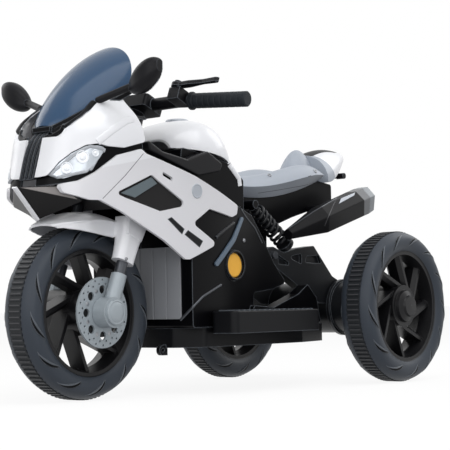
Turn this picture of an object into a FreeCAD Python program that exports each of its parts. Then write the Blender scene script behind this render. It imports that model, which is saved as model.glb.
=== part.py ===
"""Three-wheeled ride-on in sport-bike style: a parametric assembly of separate pieces, in millimetres.

Frame: +X forward, +Y to the rider's left, +Z up. The origin is on the ground, midway between the axles.
"""
import FreeCAD, Part
import math
import os

import Sketcher
from FreeCAD import Placement, Rotation, Vector

doc = FreeCAD.newDocument("ride_on_trike")
sheet = doc.addObject("Spreadsheet::Sheet", "Sizes")

# Driving dimensions in millimetres, angles in degrees, counts as plain numbers
SIZES = {
    "wheelbase": 646, "rear_track": 410, "body_height": 600, "body_half_width": 126,
    "wheel_radius": 143, "tyre_width": 70, "rim_radius": 104, "rim_lip": 6, "rim_width": 52,
    "band_width": 28, "band_depth": 5, "tooth_depth": 1.6, "tooth_count": 96,
    "hub_radius": 40, "spoke_count": 8, "spoke_width": 13, "spoke_sweep": 50, "spoke_depth": 34,
    "spoke_bevel": 7,
    "groove_count": 14, "groove_width": 3.2, "groove_depth": 2.4,
    "cap_radius": 31, "cap_height": 16,
    "axle_radius": 6, "running_fit": 0.08, "body_gap": 0.6, "panel_gap": 0.4, "overrun": 60,
    "disc_radius": 58, "disc_inner": 24, "disc_depth": 4, "disc_holes": 40, "disc_hole_radius": 1.8,
    "disc_windows": 8,
    "fork_rake": 22, "fork_spread": 70, "fork_tube_radius": 9.5, "fork_leg_radius": 13.2,
    "fork_leg_length": 66,
    "fork_hub_radius": 25, "fork_hub_length": 27, "fork_hub_cap": 21, "crown_height": 200,
    "crown_depth": 30,
    "stem_radius": 13, "stem_length": 372, "column_radius": 24, "column_length": 58,
    "head_wall": 9, "head_length": 62, "head_height": 246, "bush_wall": 3,
    "fender_gap": 20, "fender_wall": 4, "fender_half_width": 58, "fender_front_angle": 60,
    "fender_rear_angle": 128,
    "fender_leg_width": 40, "fender_leg_depth": 27, "fender_leg_drop": 88,
    "bar_radius": 11, "bar_half_width": 228, "grip_radius": 13, "grip_length": 112,
    "grip_flange": 15.5, "grip_rib_count": 9, "grip_rib_depth": 0.9, "grip_end": 240,
    "lever_length": 92, "lever_width": 10, "lever_thickness": 7, "lever_offset": 40, "perch_width": 24,
    "lever_pin_radius": 3, "lever_travel_gap": 1.2,
    "wall": 3.5, "panel_wall": 5, "edge_round": 6,
    "screen_wall": 2.5, "trim_width": 9, "grille_half_width": 16.2, "grille_ribs": 4, "grille_rib": 3,
    "grille_depth": 10,
    "mirror_length": 64, "mirror_height": 42, "mirror_depth": 25, "mirror_arm_radius": 6,
    "spine_half_width": 50,
    "muffler_centre": 112, "muffler_half_width": 26, "muffler_bore": 15,
    "footrest_width": 56, "footrest_height": 38, "footrest_length": 250, "footrest_rib_count": 16,
    "footrest_rib_width": 4, "footrest_rib_height": 2, "footrest_wall": 3,
    "pivot_radius": 7, "arm_inner": 60, "arm_thickness": 22, "housing_radius": 50, "housing_wall": 5,
    "housing_flange": 5, "pocket_depth": 6, "motor_radius": 40, "motor_length": 96,
    "spring_radius": 13, "spring_wire": 3, "spring_turns": 8, "spring_offset": 72, "damper_radius": 8,
    "battery_length": 150, "battery_width": 98, "battery_height": 94,
    "control_length": 70, "control_width": 60, "control_height": 26,
    "lamp_radius": 22, "lamp_depth": 8, "lamp_recess": 5, "lug_radius": 9, "lug_hole_radius": 3.2,
    "lug_width": 8,
    "pedal_length": 84, "pedal_thickness": 9, "pedal_lift": 10, "pedal_pin_radius": 3,
    "button_radius": 8, "button_height": 7, "rocker_length": 22, "rocker_width": 12,
    "dash_thickness": 6, "cap_top_radius": 21, "cap_top_height": 9, "indicator_length": 34,
    "indicator_radius": 6,
    "socket_radius": 2.8, "socket_depth": 12, "radiator_slots": 5,
}
for row, (alias, value) in enumerate(SIZES.items(), start=1):
    sheet.set(f"A{row}", alias)
    sheet.set(f"B{row}", str(value))
    sheet.setAlias(f"B{row}", alias)
doc.recompute()


def size(alias):
    return float(sheet.get(alias))


wheelbase = size("wheelbase")
body_height = size("body_height")
body_half_width = size("body_half_width")
wheel_radius = size("wheel_radius")
wall = size("wall")
panel_gap = size("panel_gap")
body_gap = size("body_gap")
overrun = size("overrun")
edge_round = size("edge_round")
FRONT_HUB = Vector(wheelbase / 2, 0, wheel_radius)
REAR_HUB = Vector(-wheelbase / 2, 0, wheel_radius)
LEFT, RIGHT = 1, -1
SIDES = {"left": LEFT, "right": RIGHT}
ACROSS = Vector(0, 1, 0)
FULL_TURN, QUARTER_TURN = 360, 90
pieces = []


def keep(label, item):
    item.Label = label
    pieces.append(item)
    return item


def shaped(label, shape):
    item = doc.addObject("Part::Feature", label)
    item.Shape = shape
    return keep(label, item)


def group(label, shapes):
    return shaped(label, Part.makeCompound(shapes))


def on_side(shape, side):
    return shape if side == LEFT else shape.mirror(Vector(), ACROSS)


def pair(label, left_shape):
    return group(label, [on_side(left_shape, side) for side in SIDES.values()])


def place(x_share, y_share, z_share):
    return Vector(x_share * wheelbase, y_share * body_half_width, z_share * body_height)


# Straight sides, joined by arcs at the corners
ROUND_LIMIT_share = 0.45


def rounded_wire(points, radius):
    corners = []
    for index, corner in enumerate(points):
        back = points[index - 1] - corner
        ahead = points[(index + 1) % len(points)] - corner
        reach = ROUND_LIMIT_share * min(back.Length, ahead.Length)
        back.normalize()
        ahead.normalize()
        half = back.getAngle(ahead) / 2
        cut = min(radius / math.tan(half), reach)
        bend = cut * math.tan(half)
        inward = (back + ahead).normalize()
        middle = corner + inward * (bend / math.sin(half) - bend)
        corners.append((corner + back * cut, middle, corner + ahead * cut))
    edges = []
    for index, (start, middle, end) in enumerate(corners):
        edges.append(Part.Arc(start, middle, end).toShape())
        edges.append(Part.LineSegment(end, corners[(index + 1) % len(corners)][0]).toShape())
    return Part.Wire(edges)


def prism(points, radius, way):
    return Part.Face(rounded_wire(points, radius)).extrude(way)


def side_prism(shares, radius, near, far):
    points = [Vector(x * wheelbase, near, z * body_height) for x, z in shares]
    return prism(points, radius, Vector(0, far - near, 0))


def spline(points):
    curve = Part.BSplineCurve()
    curve.interpolate(points)
    return curve.toShape()


def closed_by_lines(first, second):
    ends = [Part.LineSegment(first[-1], second[-1]).toShape(),
            Part.LineSegment(second[0], first[0]).toShape()]
    return Part.Wire([spline(first), ends[0], spline(second[::-1]), ends[1]])


def turned(profile, axis_point, axis, angle=FULL_TURN):
    return Part.Face(profile).revolve(axis_point, axis, angle)


def rod(start, end, radius):
    return Part.makeCylinder(radius, (end - start).Length, start, end - start)


def box_between(low, high):
    return Part.makeBox(high.x - low.x, high.y - low.y, high.z - low.z, low)


# Body side, seen from above, front to rear, at its widest height
PLAN_shares = (
    (0.675, 0.143), (0.669, 0.333), (0.650, 0.500), (0.613, 0.651), (0.545, 0.786), (0.449, 0.881),
    (0.325, 0.960), (0.201, 0.992), (0.077, 0.937), (-0.031, 0.841), (-0.130, 0.786), (-0.232, 0.738))
# Height of each level, how far its front stands back, and its width
LEVEL_shares = (
    (0.150, 0.000, 0.97), (0.250, 0.000, 0.97), (0.367, 0.000, 0.98), (0.500, 0.000, 0.99),
    (0.593, 0.000, 1.0), (0.667, 0.019, 1.04), (0.725, 0.034, 1.05),
    (0.783, 0.068, 0.92), (0.867, 0.130, 0.80))


def level_points(level, inset):
    height_share, back_share, width_share = level
    first, last = PLAN_shares[0][0], PLAN_shares[-1][0]
    line = []
    for x_share, y_share in PLAN_shares:
        lean = (x_share - last) / (first - last)
        line.append(place(x_share - back_share * lean, y_share * width_share, height_share))
    moved = []
    for index, point in enumerate(line):
        along = line[min(index + 1, len(line) - 1)] - line[max(index - 1, 0)]
        out = Vector(-along.y, along.x, 0).normalize()
        moved.append(point + out * inset)
    return moved


def side_shell(inset, depth):
    rings = [closed_by_lines(level_points(level, inset), level_points(level, inset + depth))
             for level in LEVEL_shares]
    return Part.makeLoft(rings, True)


def half_core(inset):
    rings = []
    for level in LEVEL_shares:
        line = level_points(level, inset)
        feet = [Vector(line[-1].x, 0, line[-1].z), Vector(line[0].x, 0, line[0].z)]
        lines = [Part.LineSegment(line[-1], feet[0]), Part.LineSegment(feet[0], feet[1]),
                 Part.LineSegment(feet[1], line[0])]
        rings.append(Part.Wire([spline(line)] + [edge.toShape() for edge in lines]))
    return Part.makeLoft(rings, True)


def side_panel(shares, inset, depth, radius):
    return side_shell(inset, depth).common(side_prism(shares, radius, 0, body_half_width + overrun))


# Outlines in side view, as shares of the wheelbase and the body height
COWL_shares = (
    (0.700, 0.587), (0.667, 0.602), (0.647, 0.638), (0.625, 0.663), (0.596, 0.683), (0.567, 0.688),
    (0.543, 0.682), (0.498, 0.680),
    (0.433, 0.700), (0.450, 0.838), (0.534, 0.810), (0.615, 0.743), (0.633, 0.707), (0.700, 0.707))
LAMP_shares = (
    (0.663, 0.605), (0.644, 0.637), (0.624, 0.660), (0.594, 0.680), (0.567, 0.683), (0.546, 0.677),
    (0.585, 0.617), (0.647, 0.592))
LAMP_SHELL_shares = (
    (0.681, 0.573), (0.681, 0.610), (0.625, 0.668), (0.567, 0.692), (0.437, 0.707), (0.433, 0.677),
    (0.511, 0.650), (0.582, 0.593))
FAIRING_shares = (
    (0.656, 0.578), (0.615, 0.588), (0.574, 0.612), (0.514, 0.660), (0.446, 0.680), (0.429, 0.668),
    (0.260, 0.618), (0.060, 0.543),
    (0.067, 0.517), (0.093, 0.508), (0.197, 0.527), (0.266, 0.483), (0.166, 0.427), (0.276, 0.382),
    (0.293, 0.382), (0.365, 0.432),
    (0.508, 0.510), (0.565, 0.537), (0.591, 0.537), (0.647, 0.555))
DUCT_shares = ((0.523, 0.557), (0.409, 0.612), (0.384, 0.595), (0.282, 0.533), (0.381, 0.513),
               (0.491, 0.545))
SLOT_shares = ((0.372, 0.622), (0.337, 0.607), (0.339, 0.597), (0.373, 0.612))
ARC_shares = ((0.022, 0.508), (0.071, 0.440), (0.161, 0.362), (0.173, 0.370), (0.085, 0.448),
              (0.034, 0.513))
KNEE_shares = (
    (0.406, 0.712), (0.347, 0.683), (0.248, 0.668), (0.164, 0.697), (0.102, 0.665), (0.115, 0.642),
    (0.207, 0.623), (0.399, 0.682))


def cowl_shape(grow):
    shell = side_shell(-grow, size("panel_wall") + 2 * grow)
    return shell.common(side_prism(COWL_shares, edge_round, 0, body_half_width + overrun))


def front_body():
    reach = body_half_width + overrun
    cowl = cowl_shape(0)
    fairing = side_panel(FAIRING_shares, 0, size("panel_wall"), edge_round)
    opening = side_prism(DUCT_shares, edge_round, 0, reach)
    slot = side_prism(SLOT_shares, edge_round, 0, reach)
    lamp = side_panel(LAMP_shares, wall / 2, wall, edge_round)
    shell = side_panel(LAMP_SHELL_shares, size("panel_wall") + panel_gap, wall, edge_round)
    duct_face = side_panel(DUCT_shares, wall, wall, edge_round)
    for name, side in SIDES.items():
        shaped(f"{name}_nose_cowl", on_side(cowl, side))
        shaped(f"{name}_side_fairing", on_side(fairing.cut(opening).cut(slot), side))
    pair("headlamp_lenses", lamp)
    pair("headlamp_shells", shell)
    pair("air_ducts", duct_face)


# Wheels: a tyre with a grooved middle, a toothed tread strip in that groove, and a swept-spoke rim
SIDEWALL_shares = ((0.0, 0.74), (0.22, 0.94), (0.48, 1.0), (0.74, 0.93), (0.90, 0.74))
tyre_half = size("tyre_width") / 2
rim_radius = size("rim_radius")
band_half = size("band_width") / 2
band_floor = wheel_radius - size("band_depth")
shoulder_drop = size("tooth_depth")
axle_bore = size("axle_radius") + size("running_fit")
GROOVE_LEAN_share = 0.35
DISC_ROW_shares = (2.6, 6.2)


def wheel_spin(shape, hub):
    shape.Placement = Placement(hub, Rotation())
    return shape


def tyre_shape():
    depth = wheel_radius - shoulder_drop - rim_radius
    side = [Vector(rim_radius + r * depth, y * tyre_half, 0) for r, y in SIDEWALL_shares]
    side.append(Vector(wheel_radius - shoulder_drop, band_half + shoulder_drop, 0))
    far = [Vector(point.x, -point.y, 0) for point in side]
    steps = [side[-1], Vector(side[-1].x, band_half, 0), Vector(band_floor, band_half, 0),
             Vector(band_floor, -band_half, 0), Vector(far[-1].x, -band_half, 0), far[-1]]
    lines = [Part.LineSegment(a, b).toShape() for a, b in zip(steps, steps[1:])]
    lines.append(Part.LineSegment(far[0], side[0]).toShape())
    profile = Part.Wire([spline(side)] + lines[:-1] + [spline(far[::-1]), lines[-1]])
    ring = turned(profile, Vector(), ACROSS)
    cuts = []
    step = FULL_TURN / int(size("groove_count"))
    reach = tyre_half * GROOVE_LEAN_share
    for turn in range(int(size("groove_count"))):
        for flank in (LEFT, RIGHT):
            start = Vector(wheel_radius, flank * (band_half + 2 * shoulder_drop), 0)
            middle = Vector(wheel_radius - depth / 4, flank * tyre_half, reach)
            end = Vector(rim_radius + depth / 2, flank * (tyre_half + size("groove_depth")), 2 * reach)
            groove = Part.Wire([Part.Arc(start, middle, end).toShape()])
            section = Part.Wire([Part.Circle(start, Vector(0, 1, 0), size("groove_width") / 2).toShape()])
            cut = groove.makePipeShell([section], True, False)
            cut.rotate(Vector(), ACROSS, step * turn + (step / 2 if flank == RIGHT else 0))
            cuts.append(cut)
    return ring.cut(cuts)


def band_body(label, hub):
    body = doc.addObject("PartDesign::Body", label)
    sketch = body.newObject("Sketcher::SketchObject", f"{label}_outline")
    plane = [item for item in body.Origin.OriginFeatures if item.Role == "XZ_Plane"][0]
    sketch.AttachmentSupport = [(plane, "")]
    sketch.MapMode = "FlatFace"
    for radius, constraint in ((wheel_radius, "wheel_radius"),
                               (band_floor, "wheel_radius - Sizes.band_depth")):
        index = sketch.addGeometry(Part.Circle(Vector(), Vector(0, 0, 1), radius), False)
        sketch.addConstraint(Sketcher.Constraint("Coincident", index, 3, -1, 1))
        number = sketch.addConstraint(Sketcher.Constraint("Radius", index, radius))
        sketch.setExpression(f"Constraints[{number}]", f"Sizes.{constraint}")
    ring = body.newObject("PartDesign::Pad", f"{label}_ring")
    ring.Profile = sketch
    ring.Midplane = True
    ring.setExpression("Length", "Sizes.band_width")
    slot = body.newObject("Sketcher::SketchObject", f"{label}_slot")
    slot.AttachmentSupport = [(plane, "")]
    slot.MapMode = "FlatFace"
    half = math.pi * wheel_radius / size("tooth_count") / 2
    low, high = wheel_radius - size("tooth_depth"), wheel_radius + size("tooth_depth")
    corners = [Vector(-half, low, 0), Vector(half, low, 0), Vector(half, high, 0), Vector(-half, high, 0)]
    following = [(index + 1) % len(corners) for index in range(len(corners))]
    for index, after in enumerate(following):
        slot.addGeometry(Part.LineSegment(corners[index], corners[after]), False)
    for index, after in enumerate(following):
        slot.addConstraint(Sketcher.Constraint("Coincident", index, 2, after, 1))
    across = "pi * Sizes.wheel_radius / Sizes.tooth_count"
    for kind, index in (("Vertical", 1), ("Horizontal", 2), ("Vertical", 3)):
        slot.addConstraint(Sketcher.Constraint(kind, index))
    slot.addConstraint(Sketcher.Constraint("Symmetric", 0, 1, 0, 2, -2))
    for kind, ends, number, text in (
            ("DistanceX", (0, 1, 0, 2), 2 * half, across),
            ("DistanceY", (-1, 1, 0, 1), low, "Sizes.wheel_radius - Sizes.tooth_depth"),
            ("DistanceY", (-1, 1, 2, 1), high, "Sizes.wheel_radius + Sizes.tooth_depth")):
        where = slot.addConstraint(Sketcher.Constraint(kind, *ends, number))
        slot.setExpression(f"Constraints[{where}]", text)
    gap = body.newObject("PartDesign::Pocket", f"{label}_gap")
    gap.Profile = slot
    gap.Midplane = True
    gap.setExpression("Length", "Sizes.band_width + Sizes.overrun")
    body.Tip = gap
    doc.recompute()
    pattern = body.newObject("PartDesign::PolarPattern", f"{label}_teeth")
    pattern.Originals = [gap]
    axis = [item for item in body.Origin.OriginFeatures if item.Role == "Y_Axis"][0]
    pattern.Axis = (axis, [""])
    pattern.Angle = FULL_TURN
    pattern.setExpression("Occurrences", "Sizes.tooth_count")
    body.Tip = pattern
    body.Placement = Placement(hub, Rotation())
    return keep(label, body)


def rim_shape(hub_inner, hub_outer):
    half = size("rim_width") / 2
    lip = size("rim_lip")
    barrel_points = [
        Vector(rim_radius, half, 0), Vector(rim_radius, -half, 0), Vector(rim_radius - lip, -half, 0),
        Vector(rim_radius - 2 * lip, 0, 0), Vector(rim_radius - lip, half, 0)]
    barrel = turned(Part.makePolygon(barrel_points + barrel_points[:1]), Vector(), ACROSS)
    hub_radius = size("hub_radius")
    hub = Part.makeCylinder(hub_radius, hub_outer - hub_inner, Vector(0, hub_inner, 0), ACROSS)
    deep = size("spoke_depth") / 2
    sweep = math.radians(size("spoke_sweep"))
    foot = Vector(0, 0, hub_radius - lip)
    way = Vector(rim_radius * math.sin(sweep), 0, rim_radius * math.cos(sweep)) - foot
    aside = Vector(way.z, 0, -way.x).normalize() * size("spoke_width") / 2
    bevel = size("spoke_bevel")
    # Each spoke leans towards the rim, with a flat face and one bevelled edge on both sides
    section = [aside + ACROSS * (deep - bevel), ACROSS * deep, -aside + ACROSS * deep,
               -aside - ACROSS * deep,
               -ACROSS * deep, aside - ACROSS * (deep - bevel)]
    section = [foot + point for point in section]
    blade = Part.Face(Part.makePolygon(section + section[:1])).extrude(way)
    count = int(size("spoke_count"))
    blades = []
    for turn in range(count):
        spoke = blade.copy()
        spoke.rotate(Vector(), ACROSS, FULL_TURN / count * turn)
        blades.append(spoke)
    inside = Part.makeCylinder(rim_radius, 2 * half, Vector(0, -half, 0), ACROSS)
    wheel = barrel.fuse([hub] + [spoke.common(inside) for spoke in blades])
    bore = Part.makeCylinder(axle_bore, hub_outer - hub_inner + 2 * overrun,
                             Vector(0, hub_inner - overrun, 0), ACROSS)
    return wheel.removeSplitter().cut(bore)


CAP_RISE_shares = ((1.0, 0.0), (0.94, 0.42), (0.66, 0.70), (0.60, 0.96), (0.0, 1.0))


def hub_cap(hub_face):
    radius, height = size("cap_radius"), size("cap_height")
    line = [Vector(radius * r, hub_face + height * y, 0) for r, y in CAP_RISE_shares]
    base = Vector(0, hub_face, 0)
    cap = turned(Part.makePolygon(line + [base, line[0]]), Vector(), ACROSS)
    pocket = Part.makeCylinder(2 * size("axle_radius"), height / 2, base, ACROSS)
    return cap.cut(pocket)


def wheels():
    tread = tyre_shape()
    rim_half = size("rim_width") / 2
    front_half = size("fork_spread") - size("fork_hub_length") / 2 - body_gap - size("disc_depth")
    front = tread.fuse(rim_shape(-front_half - size("disc_depth"), front_half)).removeSplitter()
    shaped("front_wheel", wheel_spin(front, FRONT_HUB))
    band_body("front_tread", FRONT_HUB)
    disc = Part.makeCylinder(size("disc_radius"), size("disc_depth"), Vector(0, front_half, 0), ACROSS)
    disc = disc.cut(Part.makeCylinder(axle_bore, overrun, Vector(0, front_half, 0), ACROSS))
    holes = []
    count = int(size("disc_holes"))
    for turn in range(count):
        row = size("disc_radius") - size("disc_hole_radius") * DISC_ROW_shares[turn % 2]
        hole = Part.makeCylinder(size("disc_hole_radius"), overrun, Vector(row, front_half, 0), ACROSS)
        hole.rotate(Vector(), ACROSS, FULL_TURN / count * turn)
        holes.append(hole)
    windows = []
    count = int(size("disc_windows"))
    middle = (size("disc_inner") + size("disc_radius")) / 2 - wall
    for turn in range(count):
        window = Part.makeCylinder(2 * wall, overrun, Vector(middle, front_half, 0), ACROSS)
        window.rotate(Vector(), ACROSS, FULL_TURN / count * turn)
        windows.append(window)
    shaped("brake_disc", wheel_spin(disc.cut(holes + windows), FRONT_HUB))
    for name, side in SIDES.items():
        hub = REAR_HUB + Vector(0, side * size("rear_track") / 2, 0)
        inner, outer = -tyre_half + body_gap, rim_half - size("cap_height") / 4
        wheel = tread.fuse([rim_shape(inner, outer), hub_cap(outer)]).removeSplitter()
        shaped(f"{name}_rear_wheel", wheel_spin(on_side(wheel, side), hub))
        band_body(f"{name}_rear_tread", hub)


# Steering: everything here is drawn along the steering axis, with the front hub as its origin
RAKED = Placement(FRONT_HUB, Rotation(ACROSS, -size("fork_rake")))
fork_spread = size("fork_spread")
crown_low = size("crown_height")
crown_top = crown_low + size("crown_depth")
stem_top = size("stem_length")
bar_height = stem_top + size("bar_radius")
bar_radius = size("bar_radius")
BAR_BEND_share = 0.45
BAR_DROP_share = 0.012
BAR_BACK_share = 0.07
bar_half = size("bar_half_width")
BAR_BEND = Vector(0, bar_half * BAR_BEND_share, bar_height)
BAR_TIP = Vector(-bar_half * BAR_BACK_share, bar_half, bar_height - bar_half * BAR_DROP_share)


def raked(shape):
    shape.Placement = RAKED.multiply(shape.Placement)
    return shape


def plate(half_x, half_y, low, high, radius, centre=0):
    points = [Vector(centre + half_x, half_y, low), Vector(centre - half_x, half_y, low),
              Vector(centre - half_x, -half_y, low), Vector(centre + half_x, -half_y, low)]
    return prism(points, radius, Vector(0, 0, high - low))


def fork():
    tube = size("fork_tube_radius")
    leg_top = size("fork_leg_length")
    hub_half = size("fork_hub_length") / 2
    reach = fork_spread + hub_half
    bore = rod(Vector(0, -reach, 0), Vector(0, reach, 0), axle_bore)
    legs = []
    tubes = []
    for side in SIDES.values():
        y = side * fork_spread
        hub = Part.makeCylinder(size("fork_hub_radius"), 2 * hub_half, Vector(0, y - hub_half, 0), ACROSS)
        face = Vector(0, y + side * hub_half, 0)
        cap = Part.makeCylinder(size("fork_hub_cap"), hub_half / 4, face, Vector(0, side, 0))
        leg = Part.makeCone(size("fork_leg_radius"), tube + wall, leg_top, Vector(0, y, 0))
        legs.append(raked(leg.fuse([hub, cap]).cut(bore)))
        tubes.append(rod(Vector(0, y, leg_top), Vector(0, y, crown_low), tube))
    crown = plate(2 * tube + wall, fork_spread + 2 * tube, crown_low, crown_top, edge_round)
    stem = rod(Vector(0, 0, crown_top), Vector(0, 0, stem_top), size("stem_radius"))
    group("fork_legs", legs)
    group("fork_tubes", [raked(item) for item in tubes])
    shaped("fork_crown", raked(crown.fuse(stem)))
    axle = doc.addObject("Part::Cylinder", "front_axle")
    axle.setExpression("Radius", "Sizes.axle_radius")
    axle.setExpression("Height", "2 * Sizes.fork_spread + Sizes.fork_hub_length")
    axle.Placement = Placement(FRONT_HUB - ACROSS * reach, Rotation(Vector(1, 0, 0), -QUARTER_TURN))
    keep("front_axle", axle)


def handlebar():
    column_low = stem_top - size("column_length")
    radius = size("column_radius")
    column = Part.makeCone(radius, radius - wall, size("column_length"), Vector(0, 0, column_low))
    column = column.cut(rod(Vector(0, 0, column_low), Vector(0, 0, stem_top), size("stem_radius")))
    yoke = plate(radius, 2 * radius, stem_top, stem_top + 2 * bar_radius, edge_round)
    bar = rod(Vector(0, -BAR_BEND.y, bar_height), BAR_BEND, bar_radius)
    parts = [yoke, bar]
    perch_half = size("perch_width") / 2
    for side in SIDES.values():
        bend, tip = [Vector(point.x, side * point.y, point.z) for point in (BAR_BEND, BAR_TIP)]
        parts.append(Part.makeSphere(bar_radius, bend))
        parts.append(rod(bend, tip, bar_radius))
        middle = BAR_BEND.y + perch_half
        low = Vector(0, side * middle - perch_half, bar_height - bar_radius)
        high = Vector(size("lever_offset") - bar_radius, side * middle + perch_half,
                      bar_height + bar_radius)
        parts.append(box_between(low, high))
        pivot = lever_pivot(side)
        base = Vector(pivot.x, pivot.y, bar_height + bar_radius - wall)
        top = pivot + Vector(0, 0, size("lever_thickness") / 2 + size("lever_travel_gap"))
        parts.append(rod(base, top, size("lever_pin_radius")))
        parts.append(Part.makeCylinder(2 * size("lever_pin_radius"), wall, top))
    shaped("handlebar", raked(column.fuse(parts).removeSplitter()))


def grip_shape(side):
    length, radius = size("grip_length"), size("grip_radius")
    end = size("grip_end")
    way = (BAR_TIP - BAR_BEND).normalize()
    last = BAR_BEND + way * ((end - BAR_BEND.y) / way.y)
    first = last - way * length
    bore = bar_radius + panel_gap
    count = int(size("grip_rib_count"))
    dip = size("grip_rib_depth")
    flange = size("grip_flange")
    line = [Vector(0, 0, 0), Vector(flange, 0, 0), Vector(flange, 0, wall), Vector(radius, 0, wall)]
    step = (length - 3 * wall) / count
    for index in range(count):
        base = 2 * wall + step * index
        line += [Vector(radius, 0, base), Vector(radius - dip, 0, base + dip),
                 Vector(radius - dip, 0, base + 3 * dip), Vector(radius, 0, base + 4 * dip)]
    line += [Vector(radius, 0, length - 2 * dip), Vector(radius - 2 * dip, 0, length), Vector(0, 0, length)]
    grip = turned(Part.makePolygon(line + line[:1]), Vector(), Vector(0, 0, 1))
    inside = (BAR_TIP - first).Length
    grip = grip.cut(Part.makeCylinder(bore, inside))
    grip.Placement = Placement(first, Rotation(Vector(0, 0, 1), way))
    return raked(on_side(grip, side))


def lever_pivot(side):
    lift = bar_height + bar_radius + size("lever_thickness") / 2 + size("lever_travel_gap")
    return Vector(size("lever_offset") - bar_radius - size("lever_width") / 2,
                  side * (BAR_BEND.y + size("perch_width") / 2), lift)


LEVER_HOLE_share = 0.94
LEVER_shares = ((0.0, 0.55), (0.30, 0.62), (0.62, 0.30), (0.94, 0.42), (1.0, 0.0))


def lever_shape(side):
    pivot = lever_pivot(LEFT)
    length, width, thick = size("lever_length"), size("lever_width"), size("lever_thickness")
    front = [Vector(pivot.x + width * x, pivot.y + length * y, pivot.z - thick / 2) for y,
             x in LEVER_shares]
    back = [Vector(pivot.x - width * x, pivot.y + length * y, pivot.z - thick / 2)
            for y, x in LEVER_shares[-2::-1]]
    blade = prism(front + back, edge_round, Vector(0, 0, thick))
    eye = Part.makeCylinder(width, thick, pivot - Vector(0, 0, thick / 2))
    hole = Part.makeCylinder(size("lever_pin_radius") + size("running_fit"), 2 * thick,
                             pivot - Vector(0, 0, thick))
    finger = Part.makeCylinder(thick / 4, 2 * thick, pivot + Vector(0, length * LEVER_HOLE_share, -thick))
    return raked(on_side(blade.fuse(eye).cut([hole, finger]), side))


FENDER_PLAN_shares = ((0.634, 0.111), (0.620, 0.238), (0.588, 0.365), (0.535, 0.476), (0.333, 0.476))


def fender():
    inner = wheel_radius + size("fender_gap")
    outer = inner + size("fender_wall")
    half = size("fender_half_width")
    drop = (outer - wheel_radius) * 2 / 3

    def arch(radius):
        ends = [Vector(radius - drop, y, 0) for y in (half, -half)]
        return ends, Part.Arc(ends[0], Vector(radius, 0, 0), ends[1]).toShape()

    outer_ends, outer_arch = arch(outer)
    inner_ends, inner_arch = arch(inner)
    sides = [Part.LineSegment(outer_ends[1], inner_ends[1]).toShape(),
             Part.LineSegment(inner_ends[0], outer_ends[0]).toShape()]
    profile = Part.Wire([outer_arch, sides[0], inner_arch, sides[1]])
    start, end = size("fender_front_angle"), size("fender_rear_angle")
    cover = turned(profile, Vector(), -ACROSS, end - start)
    cover.rotate(Vector(), -ACROSS, start)
    cover.Placement = Placement(FRONT_HUB, Rotation()).multiply(cover.Placement)
    plan = [Vector(x * wheelbase, y * body_half_width, 0) for x, y in FENDER_PLAN_shares]
    plan += [Vector(point.x, -point.y, 0) for point in plan[::-1]]
    cover = cover.common(prism(plan, 4 * edge_round, Vector(0, 0, body_height)))
    leg_low = size("fender_leg_drop")
    leg_high = inner - wall
    legs = []
    for side in SIDES.values():
        rings = []
        for height, grow in ((leg_low, 0), ((leg_low + leg_high) / 2, wall / 2), (leg_high, 2 * wall)):
            half_x = size("fender_leg_width") / 2 + grow
            deep = size("fender_leg_depth") / 2 + grow
            points = [Vector(half_x, deep, 0), Vector(-half_x, deep, 0), Vector(-half_x, -deep, 0),
                      Vector(half_x, -deep, 0)]
            moved = [point + Vector(0, side * (fork_spread - grow), height) for point in points]
            rings.append(rounded_wire(moved, 2 * edge_round))
        leg = raked(Part.makeLoft(rings, True))
        legs.append(leg)
    bores = []
    for side in SIDES.values():
        low, high = [Vector(0, side * fork_spread, z) for z in (0, crown_top)]
        bores.append(raked(rod(low, high, size("fork_tube_radius") + size("running_fit"))))
    hollow = Part.makeCylinder(inner, 2 * half, FRONT_HUB - Vector(0, half, 0), ACROSS)
    hollow = hollow.common(Part.makeBox(wheelbase, 2 * half - 2 * wall, wheelbase,
                                        FRONT_HUB - Vector(wheelbase / 2, half - wall, wheelbase / 2)))
    shaped("front_mudguard", cover.fuse([leg.cut(hollow) for leg in legs]).removeSplitter().cut(bores))


def hand_controls():
    group("grips", [grip_shape(side) for side in SIDES.values()])
    for name, side in SIDES.items():
        shaped(f"{name}_lever", lever_shape(side))


GRILLE_shares = ((0.672, 0.595), (0.656, 0.653), (0.632, 0.707), (0.613, 0.727))
# Windscreen: arcs from the base edge on one side, over the middle, to the other side
SCREEN_MIDDLE_shares = ((0.622, 0.000, 0.745), (0.585, 0.000, 0.815), (0.523, 0.000, 0.887),
                        (0.449, 0.000, 0.950), (0.376, 0.000, 0.992))
SCREEN_EDGE_shares = ((0.616, 0.127, 0.742), (0.576, 0.333, 0.772), (0.520, 0.460, 0.807),
                      (0.464, 0.540, 0.838), (0.415, 0.571, 0.867))


def screen_arcs(inset):
    arcs = []
    for middle, edge in zip(SCREEN_MIDDLE_shares, SCREEN_EDGE_shares):
        crown, foot = place(*middle), place(*edge)
        up = Vector(crown.x - foot.x, 0, crown.z - foot.z).normalize()
        crown -= up * inset
        foot -= ACROSS * inset
        arcs.append((foot, crown, Vector(foot.x, -foot.y, foot.z)))
    return arcs


def arc_ring(outer, inner):
    lines = [Part.LineSegment(outer[2], inner[2]).toShape(), Part.LineSegment(inner[0], outer[0]).toShape()]
    return Part.Wire([Part.Arc(*outer).toShape(), lines[0], Part.Arc(*inner[::-1]).toShape(), lines[1]])


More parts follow.
